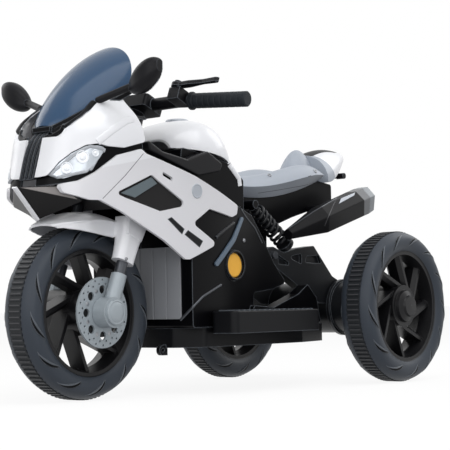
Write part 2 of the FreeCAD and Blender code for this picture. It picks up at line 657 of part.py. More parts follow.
def windscreen():
    thick = size("screen_wall")
    rings = [arc_ring(a, b) for a, b in zip(screen_arcs(0), screen_arcs(thick))]
    shaped("windscreen", Part.makeLoft(rings, True))
    # The base trim follows the same edge, just below the screen
    width = size("trim_width")
    strips = []
    for side in SIDES.values():
        wires = []
        for edge in SCREEN_EDGE_shares:
            x, y, z = edge
            top = place(x, side * y, z) - Vector(0, 0, panel_gap)
            out = Vector(0, side * width, -width / 2)
            down = Vector(0, 0, -width)
            corners = [top, top + out, top + out + down, top + down - Vector(0, side * width / 2, 0)]
            wires.append(Part.makePolygon(corners + corners[:1]))
        strips.append(Part.makeLoft(wires, True))
    nose = place(*SCREEN_EDGE_shares[0])
    link = box_between(Vector(nose.x - 2 * width, -nose.y - width / 2, nose.z - width),
                       Vector(nose.x + width / 2, nose.y + width / 2, nose.z - panel_gap))
    trim = strips[0].fuse([strips[1], link]).removeSplitter()
    top = GRILLE_shares[-1][1] * body_height + panel_gap
    half = size("grille_half_width") + panel_gap
    below = box_between(Vector(0, -half, 0), Vector(wheelbase, half, top))
    cowls = [on_side(cowl_shape(panel_gap), side) for side in SIDES.values()]
    shaped("windscreen_trim", max(trim.cut(cowls + [below]).Solids, key=lambda solid: solid.Volume))


def grille():
    half = size("grille_half_width")
    rib = size("grille_rib")
    deep = size("grille_depth")
    face = [Vector(x * wheelbase, 0, z * body_height) for x, z in GRILLE_shares]
    back = [point - Vector(deep, 0, 0) for point in face]

    def slat(low, high, stand):
        outline = closed_by_lines([point + Vector(stand, low, 0) for point in face],
                                  [point + Vector(0, low, 0) for point in back])
        return Part.Face(outline).extrude(Vector(0, high - low, 0))

    parts = [slat(-half, half, 0)]
    count = int(size("grille_ribs"))
    pitch = (2 * half - rib) / (count - 1)
    for index in range(count):
        low = -half + pitch * index
        parts.append(slat(low, low + rib, rib))
    shaped("nose_grille", parts[0].fuse(parts[1:]).removeSplitter())


# Lower nose: a raked bow with a flat top, its flanks folded along the line from the tip to each wing corner
BEAK_TIP_share = (0.715, 0.000, 0.5738)
BEAK_SHOULDER_share = (0.632, 0.460, 0.5758)
BEAK_WING_share = (0.605, 0.635, 0.5338)
BEAK_KEEL_share = (0.639, 0.000, 0.4898)


def beak():
    tip, keel = place(*BEAK_TIP_share), place(*BEAK_KEEL_share)
    shoulders, wings = [[Vector(point.x, side * point.y, point.z) for side in SIDES.values()]
                        for point in (place(*BEAK_SHOULDER_share), place(*BEAK_WING_share))]
    outlines = [[tip, *shoulders], [*shoulders, wings[1], wings[0]], [keel, *wings]]
    for shoulder, wing in zip(shoulders, wings):
        outlines += [[tip, shoulder, wing], [tip, wing, keel]]
    faces = [Part.Face(Part.makePolygon(corners + corners[:1])) for corners in outlines]
    solid = Part.Solid(Part.Shell(faces))
    if solid.Volume < 0:
        solid.reverse()
    behind = solid.copy()
    behind.translate(Vector(-4 * wall, 0, 0))
    low = behind.BoundBox.ZMin + wall
    core = behind.common(box_between(Vector(0, -body_half_width, low),
                                     Vector(wheelbase, body_half_width, tip.z - wall)))
    shaped("nose_beak", solid.cut(core))


# Mirror heads: teardrop sections along the width, on a stalk from the cowl
MIRROR_shares = ((0.0, 0.28), (0.18, 0.72), (0.5, 1.0), (0.82, 0.82), (1.0, 0.40))
MIRROR_TILT_share = 0.7
MIRROR_TALL_share = 0.8
MIRROR_CORNERS = (45, 135, 225, 315)
MIRROR_PLACE_share = (0.489, 1.198, 0.865)
MIRROR_ROOT_share = (0.523, 0.540, 0.813)


def mirrors():
    head = place(*MIRROR_PLACE_share)
    root = place(*MIRROR_ROOT_share)
    length, height, deep = size("mirror_length"), size("mirror_height"), size("mirror_depth")
    rings = []
    for along, swell in MIRROR_shares:
        y = head.y + (2 * along - 1) * length / 2
        lift = (2 * along - 1) * height * MIRROR_TILT_share / 2
        points = []
        for angle in map(math.radians, MIRROR_CORNERS):
            points.append(Vector(head.x + math.cos(angle) * deep * swell,
                                 y, head.z + lift + math.sin(angle) * height * swell * MIRROR_TALL_share))
        rings.append(rounded_wire(points, deep))
    shell = Part.makeLoft(rings, True)
    low = Vector(head.x - 2 * deep, 0, 0)
    rear = Part.makeBox(2 * deep - deep / 4, 2 * body_half_width, body_height, low)
    inner_end = Vector(head.x, head.y - length / 3, head.z - height / 4)
    arm = rod(root, inner_end, size("mirror_arm_radius"))
    arm = arm.fuse(Part.makeSphere(size("mirror_arm_radius"), root))
    body = shell.cut(rear)
    plane = shell.common(Part.makeBox(wall, 2 * body_half_width, body_height,
                                      Vector(low.x + 2 * deep - deep / 4 - wall, 0, 0)))
    whole = body.fuse(arm.cut(rear)).removeSplitter().cut(half_core(-panel_gap))
    pair("mirrors", max(whole.Solids, key=lambda solid: solid.Volume))
    pair("mirror_glasses", plane.cut(arm))


# Tank cover: arched sections, front to rear, each with its place, half width, bottom and top
TANK_shares = (
    (0.232, 0.460, 0.708, 0.737), (0.189, 0.667, 0.703, 0.780), (0.142, 0.770, 0.696, 0.802),
    (0.082, 0.750, 0.687, 0.800), (0.030, 0.640, 0.676, 0.765), (-0.006, 0.530, 0.656, 0.718),
    (-0.029, 0.420, 0.630, 0.672))
SHOULDER_share = 0.62
SHOULDER_RISE_share = 0.74
TANK_BULGE_share = math.sqrt(SHOULDER_share)


def tank_loft(inset, drop):
    rings = []
    for x, y, low, high in TANK_shares:
        half = y * body_half_width - inset
        bottom = low * body_height - drop
        top = high * body_height - inset
        shoulder = bottom + (top - bottom) * SHOULDER_RISE_share
        arch = [Vector(x * wheelbase, half, bottom),
                Vector(x * wheelbase, half * TANK_BULGE_share, shoulder),
                Vector(x * wheelbase, 0, top), Vector(x * wheelbase, -half * TANK_BULGE_share, shoulder),
                Vector(x * wheelbase, -half, bottom)]
        rings.append(Part.Wire([spline(arch), Part.LineSegment(arch[-1], arch[0]).toShape()]))
    return Part.makeLoft(rings, True)


CAP_share = (0.102, 0.000, 0.797)
KNEE_DEPTH_share = 0.16
KNEE_BACK_share = 0.347


def tank():
    outer = tank_loft(0, 0)
    inner = tank_loft(wall, wall)
    half = body_half_width
    knee_face = half * (1 - KNEE_DEPTH_share)
    knee_back = half * (1 - KNEE_BACK_share)
    cut = side_prism(KNEE_shares, edge_round, knee_back - panel_gap, half)
    bed = CORE_INNER_WIDTH_share * half
    cover = outer.cut([inner, side_prism(CORE_INNER_shares, edge_round, -bed, bed)])
    pad = side_prism(KNEE_shares, edge_round, knee_back, knee_face)
    flat = panel_gap / 4
    outer_edges = [edge for edge in pad.Edges
                   if abs(edge.BoundBox.YMin - knee_face) < flat and edge.BoundBox.YLength < flat]
    pad = pad.makeFillet(wall, outer_edges)
    cover = cover.cut([on_side(cut, side) for side in SIDES.values()])
    shaped("tank_cover", max(cover.Solids, key=lambda solid: solid.Volume))
    pair("knee_panels", pad)
    cap_at = place(*CAP_share)
    skirt = 2 * wall
    low_cap = Part.makeCylinder(size("cap_top_radius"), size("cap_top_height") + skirt,
                                cap_at - Vector(0, 0, skirt))
    rim = [edge for edge in low_cap.Edges if edge.BoundBox.ZMin > cap_at.z + size("cap_top_height") / 2]
    shaped("tank_cap", low_cap.makeFillet(wall, rim).cut(outer))


# Black body: two halves that meet on the middle plane, a neck for the steering head and a spine to the tail
CORE_TOP_shares = ((0.232, 0.707), (0.030, 0.675), (-0.031, 0.628))
CORE_INNER_shares = ((0.257, 0.190), (0.260, 0.400), (0.248, 0.575)) + CORE_TOP_shares + ((-0.031, 0.190),)
CORE_OUTER_shares = (
    (0.257, 0.190), (0.260, 0.400), (0.257, 0.618), (0.062, 0.548), (-0.031, 0.520), (-0.087, 0.457),
    (-0.149, 0.377), (-0.214, 0.318),
    (-0.139, 0.298), (-0.040, 0.288), (-0.031, 0.190))
# The skirt below and behind, outside the swing arms, and the slots that those swing in
SKIRT_shares = ((-0.015, 0.191), (-0.015, 0.250), (-0.108, 0.243), (-0.226, 0.283), (-0.272, 0.313),
                (-0.316, 0.270), (-0.334, 0.191))
SKIRT_WIDTH_shares = (0.68, 0.86)
NECK_shares = ((0.186, 0.550), (0.186, 0.697), (0.303, 0.688), (0.328, 0.640), (0.248, 0.567))
SEAT_shares = (
    (-0.033, 0.508, 0.587, 0.640, 0.657), (-0.124, 0.587, 0.583, 0.647, 0.647),
    (-0.232, 0.635, 0.593, 0.672, 0.650), (-0.356, 0.651, 0.623, 0.700, 0.670),
    (-0.452, 0.571, 0.653, 0.688, 0.683))
SPINE_FRONT_share = -0.019
SPINE_TAIL_shares = ((-0.534, 0.647), (-0.534, 0.587), (-0.325, 0.530), (-0.198, 0.487), (-0.198, 0.380),
                     (-0.152, 0.350), (-0.019, 0.337))
PIVOT_share = (-0.161, 0.000, 0.403)
SHOCK_TOP_share = (-0.080, 0.000, 0.557)
SHOCK_FOOT_share = (-0.232, 0.000, 0.447)
CORE_INNER_WIDTH_share = 0.65
NECK_WIDTH_share = 0.18
AMBER_share = (0.074, 0.000, 0.368)
BATTERY_share = (0.107, 0.000, 0.193)
CONTROL_share = (0.093, 0.000, 0.417)
SOCKET_share = (0.217, 0.000, 0.287)
# Points of the body side that the lamps and the socket stand at, and the upright edges of a box
LAMP_STATION, SOCKET_STATION = 8, 7
UPRIGHT_EDGES = (1, 3, 5, 7)
core_inset = size("panel_wall") + panel_gap
spine_half = size("spine_half_width")
head_low = size("head_height")
head_bore = size("stem_radius") + size("running_fit") + size("bush_wall")


def spine_outline(drop):
    seat_line = [(x, low - drop / body_height) for x, _, low, _, _ in SEAT_shares]
    return ((SPINE_FRONT_share, seat_line[0][1]),) + tuple(seat_line[1:]) + SPINE_TAIL_shares


def lamp_seat():
    at = place(*AMBER_share)
    face = [point.y for point in level_points(LEVEL_shares[1], core_inset)][LAMP_STATION]
    return Vector(at.x, face - size("lamp_recess"), at.z)


def body_halves():
    reach = body_half_width + overrun
    inner = side_prism(CORE_INNER_shares, edge_round, 0, body_half_width * CORE_INNER_WIDTH_share)
    outer = side_prism(CORE_OUTER_shares, edge_round, 0, reach)
    core = half_core(core_inset).common(inner.fuse(outer))
    spine = side_prism(spine_outline(panel_gap - wall), edge_round, 0, spine_half)
    neck = side_prism(NECK_shares, edge_round, 0, body_half_width * NECK_WIDTH_share)
    head_axis = [Vector(0, 0, head_low), Vector(0, 0, head_low + size("head_length"))]
    head = raked(rod(head_axis[0], head_axis[1], head_bore + size("head_wall")))
    upper = Part.makeBox(wheelbase, reach, body_height, Vector(-wheelbase / 2, 0, 0))
    shock = place(*SHOCK_TOP_share)
    horn_end = size("spring_offset") + size("spring_radius")
    horn = rod(Vector(shock.x, 0, shock.z), Vector(shock.x, horn_end, shock.z), size("damper_radius"))
    skirt = side_prism(SKIRT_shares, edge_round, *[share * body_half_width for share in SKIRT_WIDTH_shares])
    half = core.fuse([spine, neck, head.common(upper), horn, skirt]).removeSplitter()
    pivot = place(*PIVOT_share)
    seat = lamp_seat()
    half_cell = Vector(size("battery_length") / 2, size("battery_width") / 2, 0) + Vector(panel_gap,
                                                                                          panel_gap, 0)
    cell = place(*BATTERY_share)
    unit = place(*CONTROL_share)
    half_unit = Vector(size("control_length") / 2, size("control_width") / 2, 0) + Vector(panel_gap,
                                                                                          panel_gap, 0)
    arm_slot = box_between(
        Vector(-wheelbase, size("arm_inner") - body_gap, pivot.z - wheel_radius),
        Vector(pivot.x + 4 * size("pivot_radius"), size("arm_inner") + size("arm_thickness") + body_gap,
               body_height / 2))
    cuts = [
        arm_slot,
        raked(rod(head_axis[0] - Vector(0, 0, overrun), head_axis[1] + Vector(0, 0, overrun), head_bore)),
        rod(pivot - ACROSS * reach, pivot + ACROSS * reach, size("pivot_radius") + size("running_fit")),
        rod(seat, seat + ACROSS * overrun, size("lamp_radius") + size("lamp_recess")),
        box_between(cell - half_cell, cell + half_cell + Vector(0, 0, size("battery_height") + panel_gap)),
        box_between(unit - half_unit, unit + half_unit + Vector(0, 0, size("control_height") + panel_gap))]
    half = half.cut(cuts)
    sleeve = size("socket_radius")
    hole = place(*SOCKET_share)
    for name, side in SIDES.items():
        shape = on_side(half, side)
        if side == RIGHT:
            face = level_points(LEVEL_shares[1], core_inset)[SOCKET_STATION].y
            boss = rod(hole - ACROSS * (face + wall), hole - ACROSS * (face - 2 * size("socket_depth")),
                       3 * sleeve)
            drill = rod(hole - ACROSS * (face + overrun),
                        hole - ACROSS * (face + wall - size("socket_depth")), sleeve)
            shape = shape.fuse(boss).removeSplitter().cut(drill)
        shaped(f"{name}_body_half", shape)
    ring = rod(head_axis[0], head_axis[1], head_bore - size("running_fit") / 2)
    bore = rod(head_axis[0], head_axis[1], size("stem_radius") + size("running_fit"))
    shaped("steering_bush", raked(ring.cut(bore)))


def inner_units():
    battery = doc.addObject("Part::Box", "battery_box")
    control = doc.addObject("Part::Box", "control_unit")
    for item, stem, where in ((battery, "battery", BATTERY_share), (control, "control", CONTROL_share)):
        for side, end in (("Length", "length"), ("Width", "width"), ("Height", "height")):
            item.setExpression(side, f"Sizes.{stem}_{end}")
        corner = place(*where) - Vector(size(f"{stem}_length") / 2, size(f"{stem}_width") / 2, 0)
        item.Placement = Placement(corner, Rotation())
    doc.recompute()
    keep("control_box", control)
    rounded = doc.addObject("Part::Fillet", "battery_rounded")
    rounded.Base = battery
    rounded.Edges = [(index, wall, wall) for index in UPRIGHT_EDGES]
    keep("battery", rounded)
    pin = doc.addObject("Part::Cylinder", "swing_pivot")
    pin.setExpression("Radius", "Sizes.pivot_radius")
    pin.setExpression("Height", "2 * (Sizes.arm_inner + Sizes.arm_thickness + Sizes.pivot_radius)")
    half = size("arm_inner") + size("arm_thickness") + size("pivot_radius")
    pin.Placement = Placement(place(*PIVOT_share) - ACROSS * half, Rotation(Vector(1, 0, 0), -QUARTER_TURN))
    keep("swing_pivot", pin)


# Lower chassis: a tray under the body halves, with a lug in front
TRAY_shares = ((0.248, 0.492), (0.198, 0.873), (-0.232, 0.889), (-0.399, 0.667))
TRAY_HEIGHT_shares = (0.133, 0.189)
LUG_share = (0.260, 0.349, 0.127)


def chassis_base():
    low, high = [share * body_height for share in TRAY_HEIGHT_shares]

    def tray(inset, floor):
        points = [Vector(x * wheelbase - math.copysign(inset, x), y * body_half_width - inset, floor)
                  for x, y in TRAY_shares]
        points += [Vector(point.x, -point.y, floor) for point in points[::-1]]
        return prism(points, 2 * edge_round, Vector(0, 0, high - floor))

    shell = tray(0, low).cut(tray(wall, low + wall))
    ribs = []
    for share, _ in TRAY_shares[1:3]:
        x = share * wheelbase * TRAY_HEIGHT_shares[1] * 2
        ribs.append(box_between(Vector(x - wall / 2, -TRAY_shares[1][1] * body_half_width + wall, low),
                                Vector(x + wall / 2, TRAY_shares[1][1] * body_half_width - wall, high)))
    lug_at = place(*LUG_share)
    width = size("lug_width")
    lug = rod(lug_at - ACROSS * width / 2, lug_at + ACROSS * width / 2, size("lug_radius"))
    root = Vector(TRAY_shares[0][0] * wheelbase - wall, lug_at.y - width / 2, lug_at.z - size("lug_radius"))
    arm = box_between(root, Vector(lug_at.x, lug_at.y + width / 2, lug_at.z + size("lug_radius")))
    hole = rod(lug_at - ACROSS * overrun, lug_at + ACROSS * overrun, size("lug_hole_radius"))
    shaped("chassis_base", shell.fuse(ribs + [arm, lug]).removeSplitter().cut(hole))


# Ribbed panel on the front of the body
RADIATOR_WIDTH_share = 0.730
RADIATOR_HEIGHT_shares = (0.215, 0.42)


def radiator_panel():
    front = CORE_OUTER_shares[1][0] * wheelbase + panel_gap
    low, high = [share * body_height for share in RADIATOR_HEIGHT_shares]
    half = RADIATOR_WIDTH_share * body_half_width
    count = int(size("radiator_slots"))
    face = prism([Vector(front, y, z) for y, z in ((half, low), (half, high), (-half, high), (-half, low))],
                 edge_round, Vector(size("dash_thickness") / 2, 0, 0))
    step = 2 * half / (count + 1)
    grooves = [box_between(Vector(front + wall / 2, -half + step * (index + 1) - wall / 2, low),
                           Vector(front + overrun, -half + step * (index + 1) + wall / 2, high))
               for index in range(count)]
    shaped("radiator_panel", face.cut(grooves))


# Hollow ribbed footrests, the right one with the pedal on a pin between two ears
PEDAL_GROOVE_shares = (0.3, 0.45, 0.6, 0.75, 0.9)
FOOTREST_share = (-0.003, 0.921, 0.172)


def footrest(side):
    at = place(*FOOTREST_share)
    half = size("footrest_length") / 2
    width, height = size("footrest_width"), size("footrest_height")
    thin = size("footrest_wall")

    def block(inset, low, high):
        points = [Vector(at.x + half - inset, at.y + inset, low),
                  Vector(at.x - half + inset, at.y + inset, low),
                  Vector(at.x - half + inset, at.y + width - inset, low),
                  Vector(at.x + half - inset, at.y + width - inset, low)]
        return prism(points, 2 * edge_round, Vector(0, 0, high - low))

    shell = block(0, at.z, at.z + height)
    rim = [edge for edge in shell.Edges if edge.BoundBox.ZMin > at.z + height - thin / 4]
    shell = shell.makeFillet(thin, rim).cut(block(thin, at.z - overrun, at.z + height - thin))
    count = int(size("footrest_rib_count"))
    pitch = (2 * half - 4 * edge_round) / count
    rib = size("footrest_rib_width")
    ribs = []
    for index in range(count):
        x = at.x - half + 2 * edge_round + pitch * (2 * index + 1) / 2
        ribs.append(box_between(Vector(x - rib / 2, at.y + 2 * thin, at.z + height - thin / 2),
                                Vector(x + rib / 2, at.y + width - 2 * thin,
                                       at.z + height + size("footrest_rib_height"))))
    if side == RIGHT:
        pad = pedal_pivot()
        low = at.z + height - thin / 2
        for y in (at.y + wall, at.y + width - 2 * wall):
            ear = box_between(Vector(pad.x - edge_round, y, low),
                              Vector(pad.x + edge_round, y + wall, pad.z + edge_round))
            ribs.append(ear)
        ribs.append(rod(Vector(pad.x, at.y + wall, pad.z), Vector(pad.x, at.y + width - wall, pad.z),
                        size("pedal_pin_radius")))
    return shell.fuse(ribs).removeSplitter()


def pedal_pivot():
    at = place(*FOOTREST_share)
    top = at.z + size("footrest_height") + size("footrest_rib_height")
    return Vector(at.x - size("pedal_length") / 4, 0, top + size("pedal_thickness") / 2 + body_gap * 2)


def footrests():
    group("footrests", [on_side(footrest(side), side) for side in SIDES.values()])
    at = place(*FOOTREST_share)
    pad = pedal_pivot()
    thick, lift = size("pedal_thickness"), size("pedal_lift")
    gap = 2 * wall + body_gap
    low, high = at.y + gap, at.y + size("footrest_width") - gap
    line = [Vector(pad.x - edge_round, low, pad.z - thick / 2), Vector(pad.x + size("pedal_length"), low,
            pad.z - thick / 2 + lift), Vector(pad.x + size("pedal_length"), low, pad.z + thick / 2 + lift),
            Vector(pad.x - edge_round, low, pad.z + thick / 2)]
    plate_shape = prism(line, thick / 3, Vector(0, high - low, 0))
    hole = rod(Vector(pad.x, 0, pad.z), Vector(pad.x, 2 * body_half_width, pad.z),
               size("pedal_pin_radius") + size("running_fit"))
    grooves = []
    for share in PEDAL_GROOVE_shares:
        x = pad.x + share * size("pedal_length")
        grooves.append(box_between(Vector(x, low,
                                          pad.z + thick / 2 + lift * share - size("footrest_rib_height") / 2),
                                   Vector(x + wall, high, pad.z + 2 * thick + lift)))
    shaped("accelerator_pedal", on_side(plate_shape.cut([hole] + grooves), RIGHT))


def side_trims():
    arc = side_panel(ARC_shares, core_inset - wall, wall - panel_gap / 2, 2 * edge_round)
    seat = lamp_seat()
    lens = rod(seat, seat + ACROSS * size("lamp_depth"), size("lamp_radius"))
    rim = [edge for edge in lens.Edges if edge.BoundBox.YMin > seat.y + size("lamp_depth") / 2]
    lens = lens.makeFillet(wall, rim)
    pair("side_trims", arc)
    pair("side_lamps", lens)


# Seat with raised rims, a rear hump, and the tail behind it
RIM_share = 0.72
HUMP_shares = (
    (-0.402, 0.159, 0.667, 0.700), (-0.424, 0.222, 0.670, 0.743), (-0.458, 0.246, 0.673, 0.765),
    (-0.489, 0.214, 0.680, 0.753))
TAIL_shares = (
    (-0.454, 0.540, 0.653, 0.727), (-0.526, 0.460, 0.660, 0.763), (-0.601, 0.333, 0.700, 0.777),
    (-0.666, 0.190, 0.743, 0.773))
INDICATOR_share = (-0.632, 0.000, 0.685)
TAIL_TOP_shares = ((-0.492, 0.190), (-0.619, 0.175), (-0.659, 0.103))


def arched(table, bulge):
    rings = []
    for x, y, low, top in table:
        half, bottom, crest = y * body_half_width, low * body_height, top * body_height
        arch = [Vector(x * wheelbase, half, bottom),
                Vector(x * wheelbase, half * bulge, (bottom + 2 * crest) / 3),
                Vector(x * wheelbase, 0, crest), Vector(x * wheelbase, -half * bulge,
                                                        (bottom + 2 * crest) / 3),
                Vector(x * wheelbase, -half, bottom)]
        rings.append(Part.Wire([spline(arch), Part.LineSegment(arch[-1], arch[0]).toShape()]))
    return Part.makeLoft(rings, True)


def seat():
    rings = []
    for x, y, low, rim, middle in SEAT_shares:
        half, bottom = y * body_half_width, low * body_height
        crest, dip = rim * body_height, middle * body_height
        flat = (bottom + crest) / 2
        top = [Vector(x * wheelbase, half, flat), Vector(x * wheelbase, half * RIM_share, crest),
               Vector(x * wheelbase, 0, dip), Vector(x * wheelbase, -half * RIM_share, crest),
               Vector(x * wheelbase, -half, flat)]
        foot = [Vector(x * wheelbase, half * RIM_share, bottom),
                Vector(x * wheelbase, -half * RIM_share, bottom)]
        lines = [Part.LineSegment(top[-1], foot[1]), Part.LineSegment(foot[1], foot[0]),
                 Part.LineSegment(foot[0], top[0])]
        rings.append(Part.Wire([spline(top)] + [line.toShape() for line in lines]))
    saddle = side_prism(spine_outline(-wall), edge_round, -spine_half - panel_gap, spine_half + panel_gap)
    cushion = Part.makeLoft(rings, True).cut(saddle)
    shaped("seat", cushion)
    hump = arched(HUMP_shares, SHOULDER_share).cut(cushion)
    hump = max(hump.Solids, key=lambda solid: solid.Volume)
    shaped("seat_hump", hump)
    bounds = hump.BoundBox
    tail = arched(TAIL_shares, SHOULDER_share + KNEE_DEPTH_share)
    clear = box_between(Vector(bounds.XMin - panel_gap, bounds.YMin - panel_gap, 0),
                        Vector(wheelbase, bounds.YMax + panel_gap, body_height))
    plan = [Vector(x * wheelbase, y * body_half_width, TAIL_shares[0][-1] * body_height) for x,
            y in TAIL_TOP_shares]
    plan += [Vector(point.x, -point.y, point.z) for point in plan[::-1]]
    lid_space = prism(plan, edge_round, Vector(0, 0, body_height))
    lid = tail.common(lid_space)
    shaped("tail_top", lid)
    spine = side_prism(spine_outline(panel_gap - wall), edge_round, -spine_half, spine_half)
    cowl = tail.cut([lid_space, clear, spine])
    shaped("tail_cowl", max(cowl.Solids, key=lambda solid: solid.Volume))
    end_x, end_y, end_low, end_top = TAIL_shares[-1]
    base = place(end_x, 0, (end_low + end_top) / 2)
    lens_half = end_y * body_half_width * RIM_share
    lens_high = (end_top - end_low) * body_height / 4
    points = [base + Vector(-panel_gap / 2, y, z) for y, z in (
        (lens_half, lens_high), (-lens_half, lens_high), (-lens_half, -lens_high), (lens_half, -lens_high))]
    shaped("tail_lamp", prism(points, wall, Vector(-wall, 0, 0)))
    bar_at = place(*INDICATOR_share)
    reach = size("indicator_length") + size("indicator_radius")
    thin = size("indicator_radius")
    cross = rod(bar_at - ACROSS * reach, bar_at + ACROSS * reach, thin * RIM_share)
    ends = [rod(bar_at + ACROSS * side * (reach - 3 * thin), bar_at + ACROSS * side * reach, thin)
            for side in SIDES.values()]
    hanger = box_between(bar_at - Vector(thin / 2, thin, 0),
                         bar_at + Vector(2 * thin, thin, 3 * edge_round))
    shaped("rear_indicators", cross.fuse(ends + [hanger]).removeSplitter().cut(tail))


# Mufflers: six-sided sections along a rising axis
MUFFLER_AXIS_shares = ((-0.173, 0.465), (-0.548, 0.585))
MUFFLER_SECTION_shares = ((0.0, 0.40, 0.34), (0.42, 0.98, 0.96), (1.0, 1.0, 1.0))
CAP_SECTION_shares = ((1.0012, 1.0, 1.0), (1.08, 0.94, 0.94), (1.11, 0.72, 0.72))
HEX_shares = ((0.45, 1.0), (1.0, 0.25), (0.62, -1.0), (-0.62, -1.0), (-1.0, 0.25), (-0.45, 1.0))
HANGER_share = (-0.406, 0.000, 0.560)


def mufflers():
    start, end = [Vector(x * wheelbase, size("muffler_centre"), z * body_height) for x,
                  z in MUFFLER_AXIS_shares]
    way = end - start
    up = Vector(-way.z, 0, way.x).normalize() * -1
    half = size("muffler_half_width")

    def section(share, wide, tall):
        points = [start + way * share + ACROSS * y * half * wide + up * z * half * tall for y,
                  z in HEX_shares]
        return rounded_wire(points, wall)

    can = Part.makeLoft([section(*row) for row in MUFFLER_SECTION_shares], True, True)
    hanger = place(*HANGER_share)
    strut = rod(Vector(hanger.x, spine_half + panel_gap / 2, hanger.z),
                Vector(hanger.x, size("muffler_centre"), hanger.z), edge_round)
    cap = Part.makeLoft([section(*row) for row in CAP_SECTION_shares], True, True)
    outlet = rod(start + way * CAP_SECTION_shares[0][0] + way.normalize() * wall,
                 end + way * 2 * overrun, size("muffler_bore"))
    body = can.fuse(strut).removeSplitter()
    cap = cap.cut(outlet)
    pair("mufflers", body)
    pair("muffler_caps", cap)


# Swing arm with the axle housing, on the pivot behind the body
ARM_shares = (
    (-0.127, 0.383), (-0.130, 0.423), (-0.164, 0.430), (-0.217, 0.412), (-0.279, 0.427), (-0.365, 0.437),
    (-0.458, 0.340), (-0.511, 0.317), (-0.511, 0.250), (-0.387, 0.253),
    (-0.248, 0.327), (-0.173, 0.367))

POCKET_shares = (
    ((-0.186, 0.405), (-0.269, 0.370), (-0.189, 0.377)),
    ((-0.319, 0.383), (-0.328, 0.403), (-0.390, 0.407), (-0.406, 0.380)),
    ((-0.232, 0.400), (-0.303, 0.410), (-0.303, 0.377)))


def swing_arm():
    inner, thick = size("arm_inner"), size("arm_thickness") - body_gap
    arm = side_prism(ARM_shares, edge_round, inner, inner + thick)
    radius = size("housing_radius")
    end = size("rear_track") / 2 - tyre_half - 2 * wall
    tube = rod(REAR_HUB - ACROSS * end, REAR_HUB + ACROSS * end, radius)
    flanges = []
    for side in SIDES.values():
        for y in (end - 2 * wall, inner + thick + wall):
            flanges.append(rod(REAR_HUB + ACROSS * side * y, REAR_HUB + ACROSS * side * (y + 2 * wall),
                               radius + size("housing_flange")))
    foot = place(*SHOCK_FOOT_share)
    cups = []
    axis = (place(*SHOCK_TOP_share) - foot).normalize()
    for side in SIDES.values():
        seat_at = foot + ACROSS * side * size("spring_offset")
        cups.append(rod(seat_at - axis * 2 * edge_round,
                        seat_at - axis * size("spring_wire") * SHOULDER_share,
                        size("spring_radius") + size("spring_wire")))
    hollow = rod(REAR_HUB - ACROSS * 2 * end, REAR_HUB + ACROSS * 2 * end, radius - size("housing_wall"))
    web = rod(REAR_HUB - ACROSS * wall, REAR_HUB + ACROSS * wall, radius)
    frame = tube.fuse([arm, on_side(arm, RIGHT)] + flanges).removeSplitter().cut(hollow)
    outer = inner + thick
    pockets = [side_prism(shares, wall, outer - size("pocket_depth"),
                          outer + overrun) for shares in POCKET_shares]
    frame = frame.cut(pockets + [on_side(pocket, RIGHT) for pocket in pockets])
    pivot = place(*PIVOT_share)
    bores = [rod(pivot - ACROSS * overrun * 2, pivot + ACROSS * overrun * 2,
                 size("pivot_radius") + size("running_fit")),
             rod(REAR_HUB - ACROSS * end, REAR_HUB + ACROSS * end, axle_bore)]
    shaped("swing_arm", frame.fuse([web] + cups).removeSplitter().cut(bores))
    axle = doc.addObject("Part::Cylinder", "rear_axle")
    axle.setExpression("Radius", "Sizes.axle_radius")
    axle.setExpression("Height", "Sizes.rear_track + Sizes.rim_width - Sizes.cap_height")
    half = (size("rear_track") + size("rim_width") - size("cap_height")) / 2
    axle.Placement = Placement(REAR_HUB - ACROSS * half, Rotation(Vector(1, 0, 0), -QUARTER_TURN))
    keep("rear_axle", axle)
    far = size("rear_track") / 2 - tyre_half
    near = far - size("motor_length")
    motor = rod(REAR_HUB + ACROSS * near, REAR_HUB + ACROSS * (end - wall),
                radius - size("housing_wall") - panel_gap / 2)
    nose = rod(REAR_HUB + ACROSS * near, REAR_HUB + ACROSS * far, size("motor_radius") / 2)
    bore = rod(REAR_HUB, REAR_HUB + ACROSS * 2 * far, axle_bore)
    pair("gear_motors", motor.fuse(nose).removeSplitter().cut(bore))


def helix_point(turn, start, axis, first, second, length, turns):
    angle = 2 * math.pi * turn
    radius = size("spring_radius")
    point = start + first * (radius * math.cos(angle)) + second * (radius * math.sin(angle))
    point += axis * (length * turn / turns)
    tangent = second * (radius * math.cos(angle)) - first * (radius * math.sin(angle))
    return point, (tangent + axis * (length / turns / (2 * math.pi))).normalize()


def biarc(start, start_way, end, end_way):
    chord = end - start
    total = start_way + end_way
    bend = 2 * (1 - start_way.dot(end_way))
    reach = (math.sqrt(chord.dot(total) ** 2 + bend * chord.dot(chord)) - chord.dot(total)) / bend
    controls = [start + start_way * reach, end - end_way * reach]
    joint = (controls[0] + controls[1]) / 2
    arcs = []
    for low, control, high in ((start, controls[0], joint), (joint, controls[1], end)):
        weight = (high - low).Length / 2 / reach
        middle = (low + control * (2 * weight) + high) / (2 + 2 * weight)
        arcs.append(Part.Arc(low, middle, high).toShape())
    return arcs


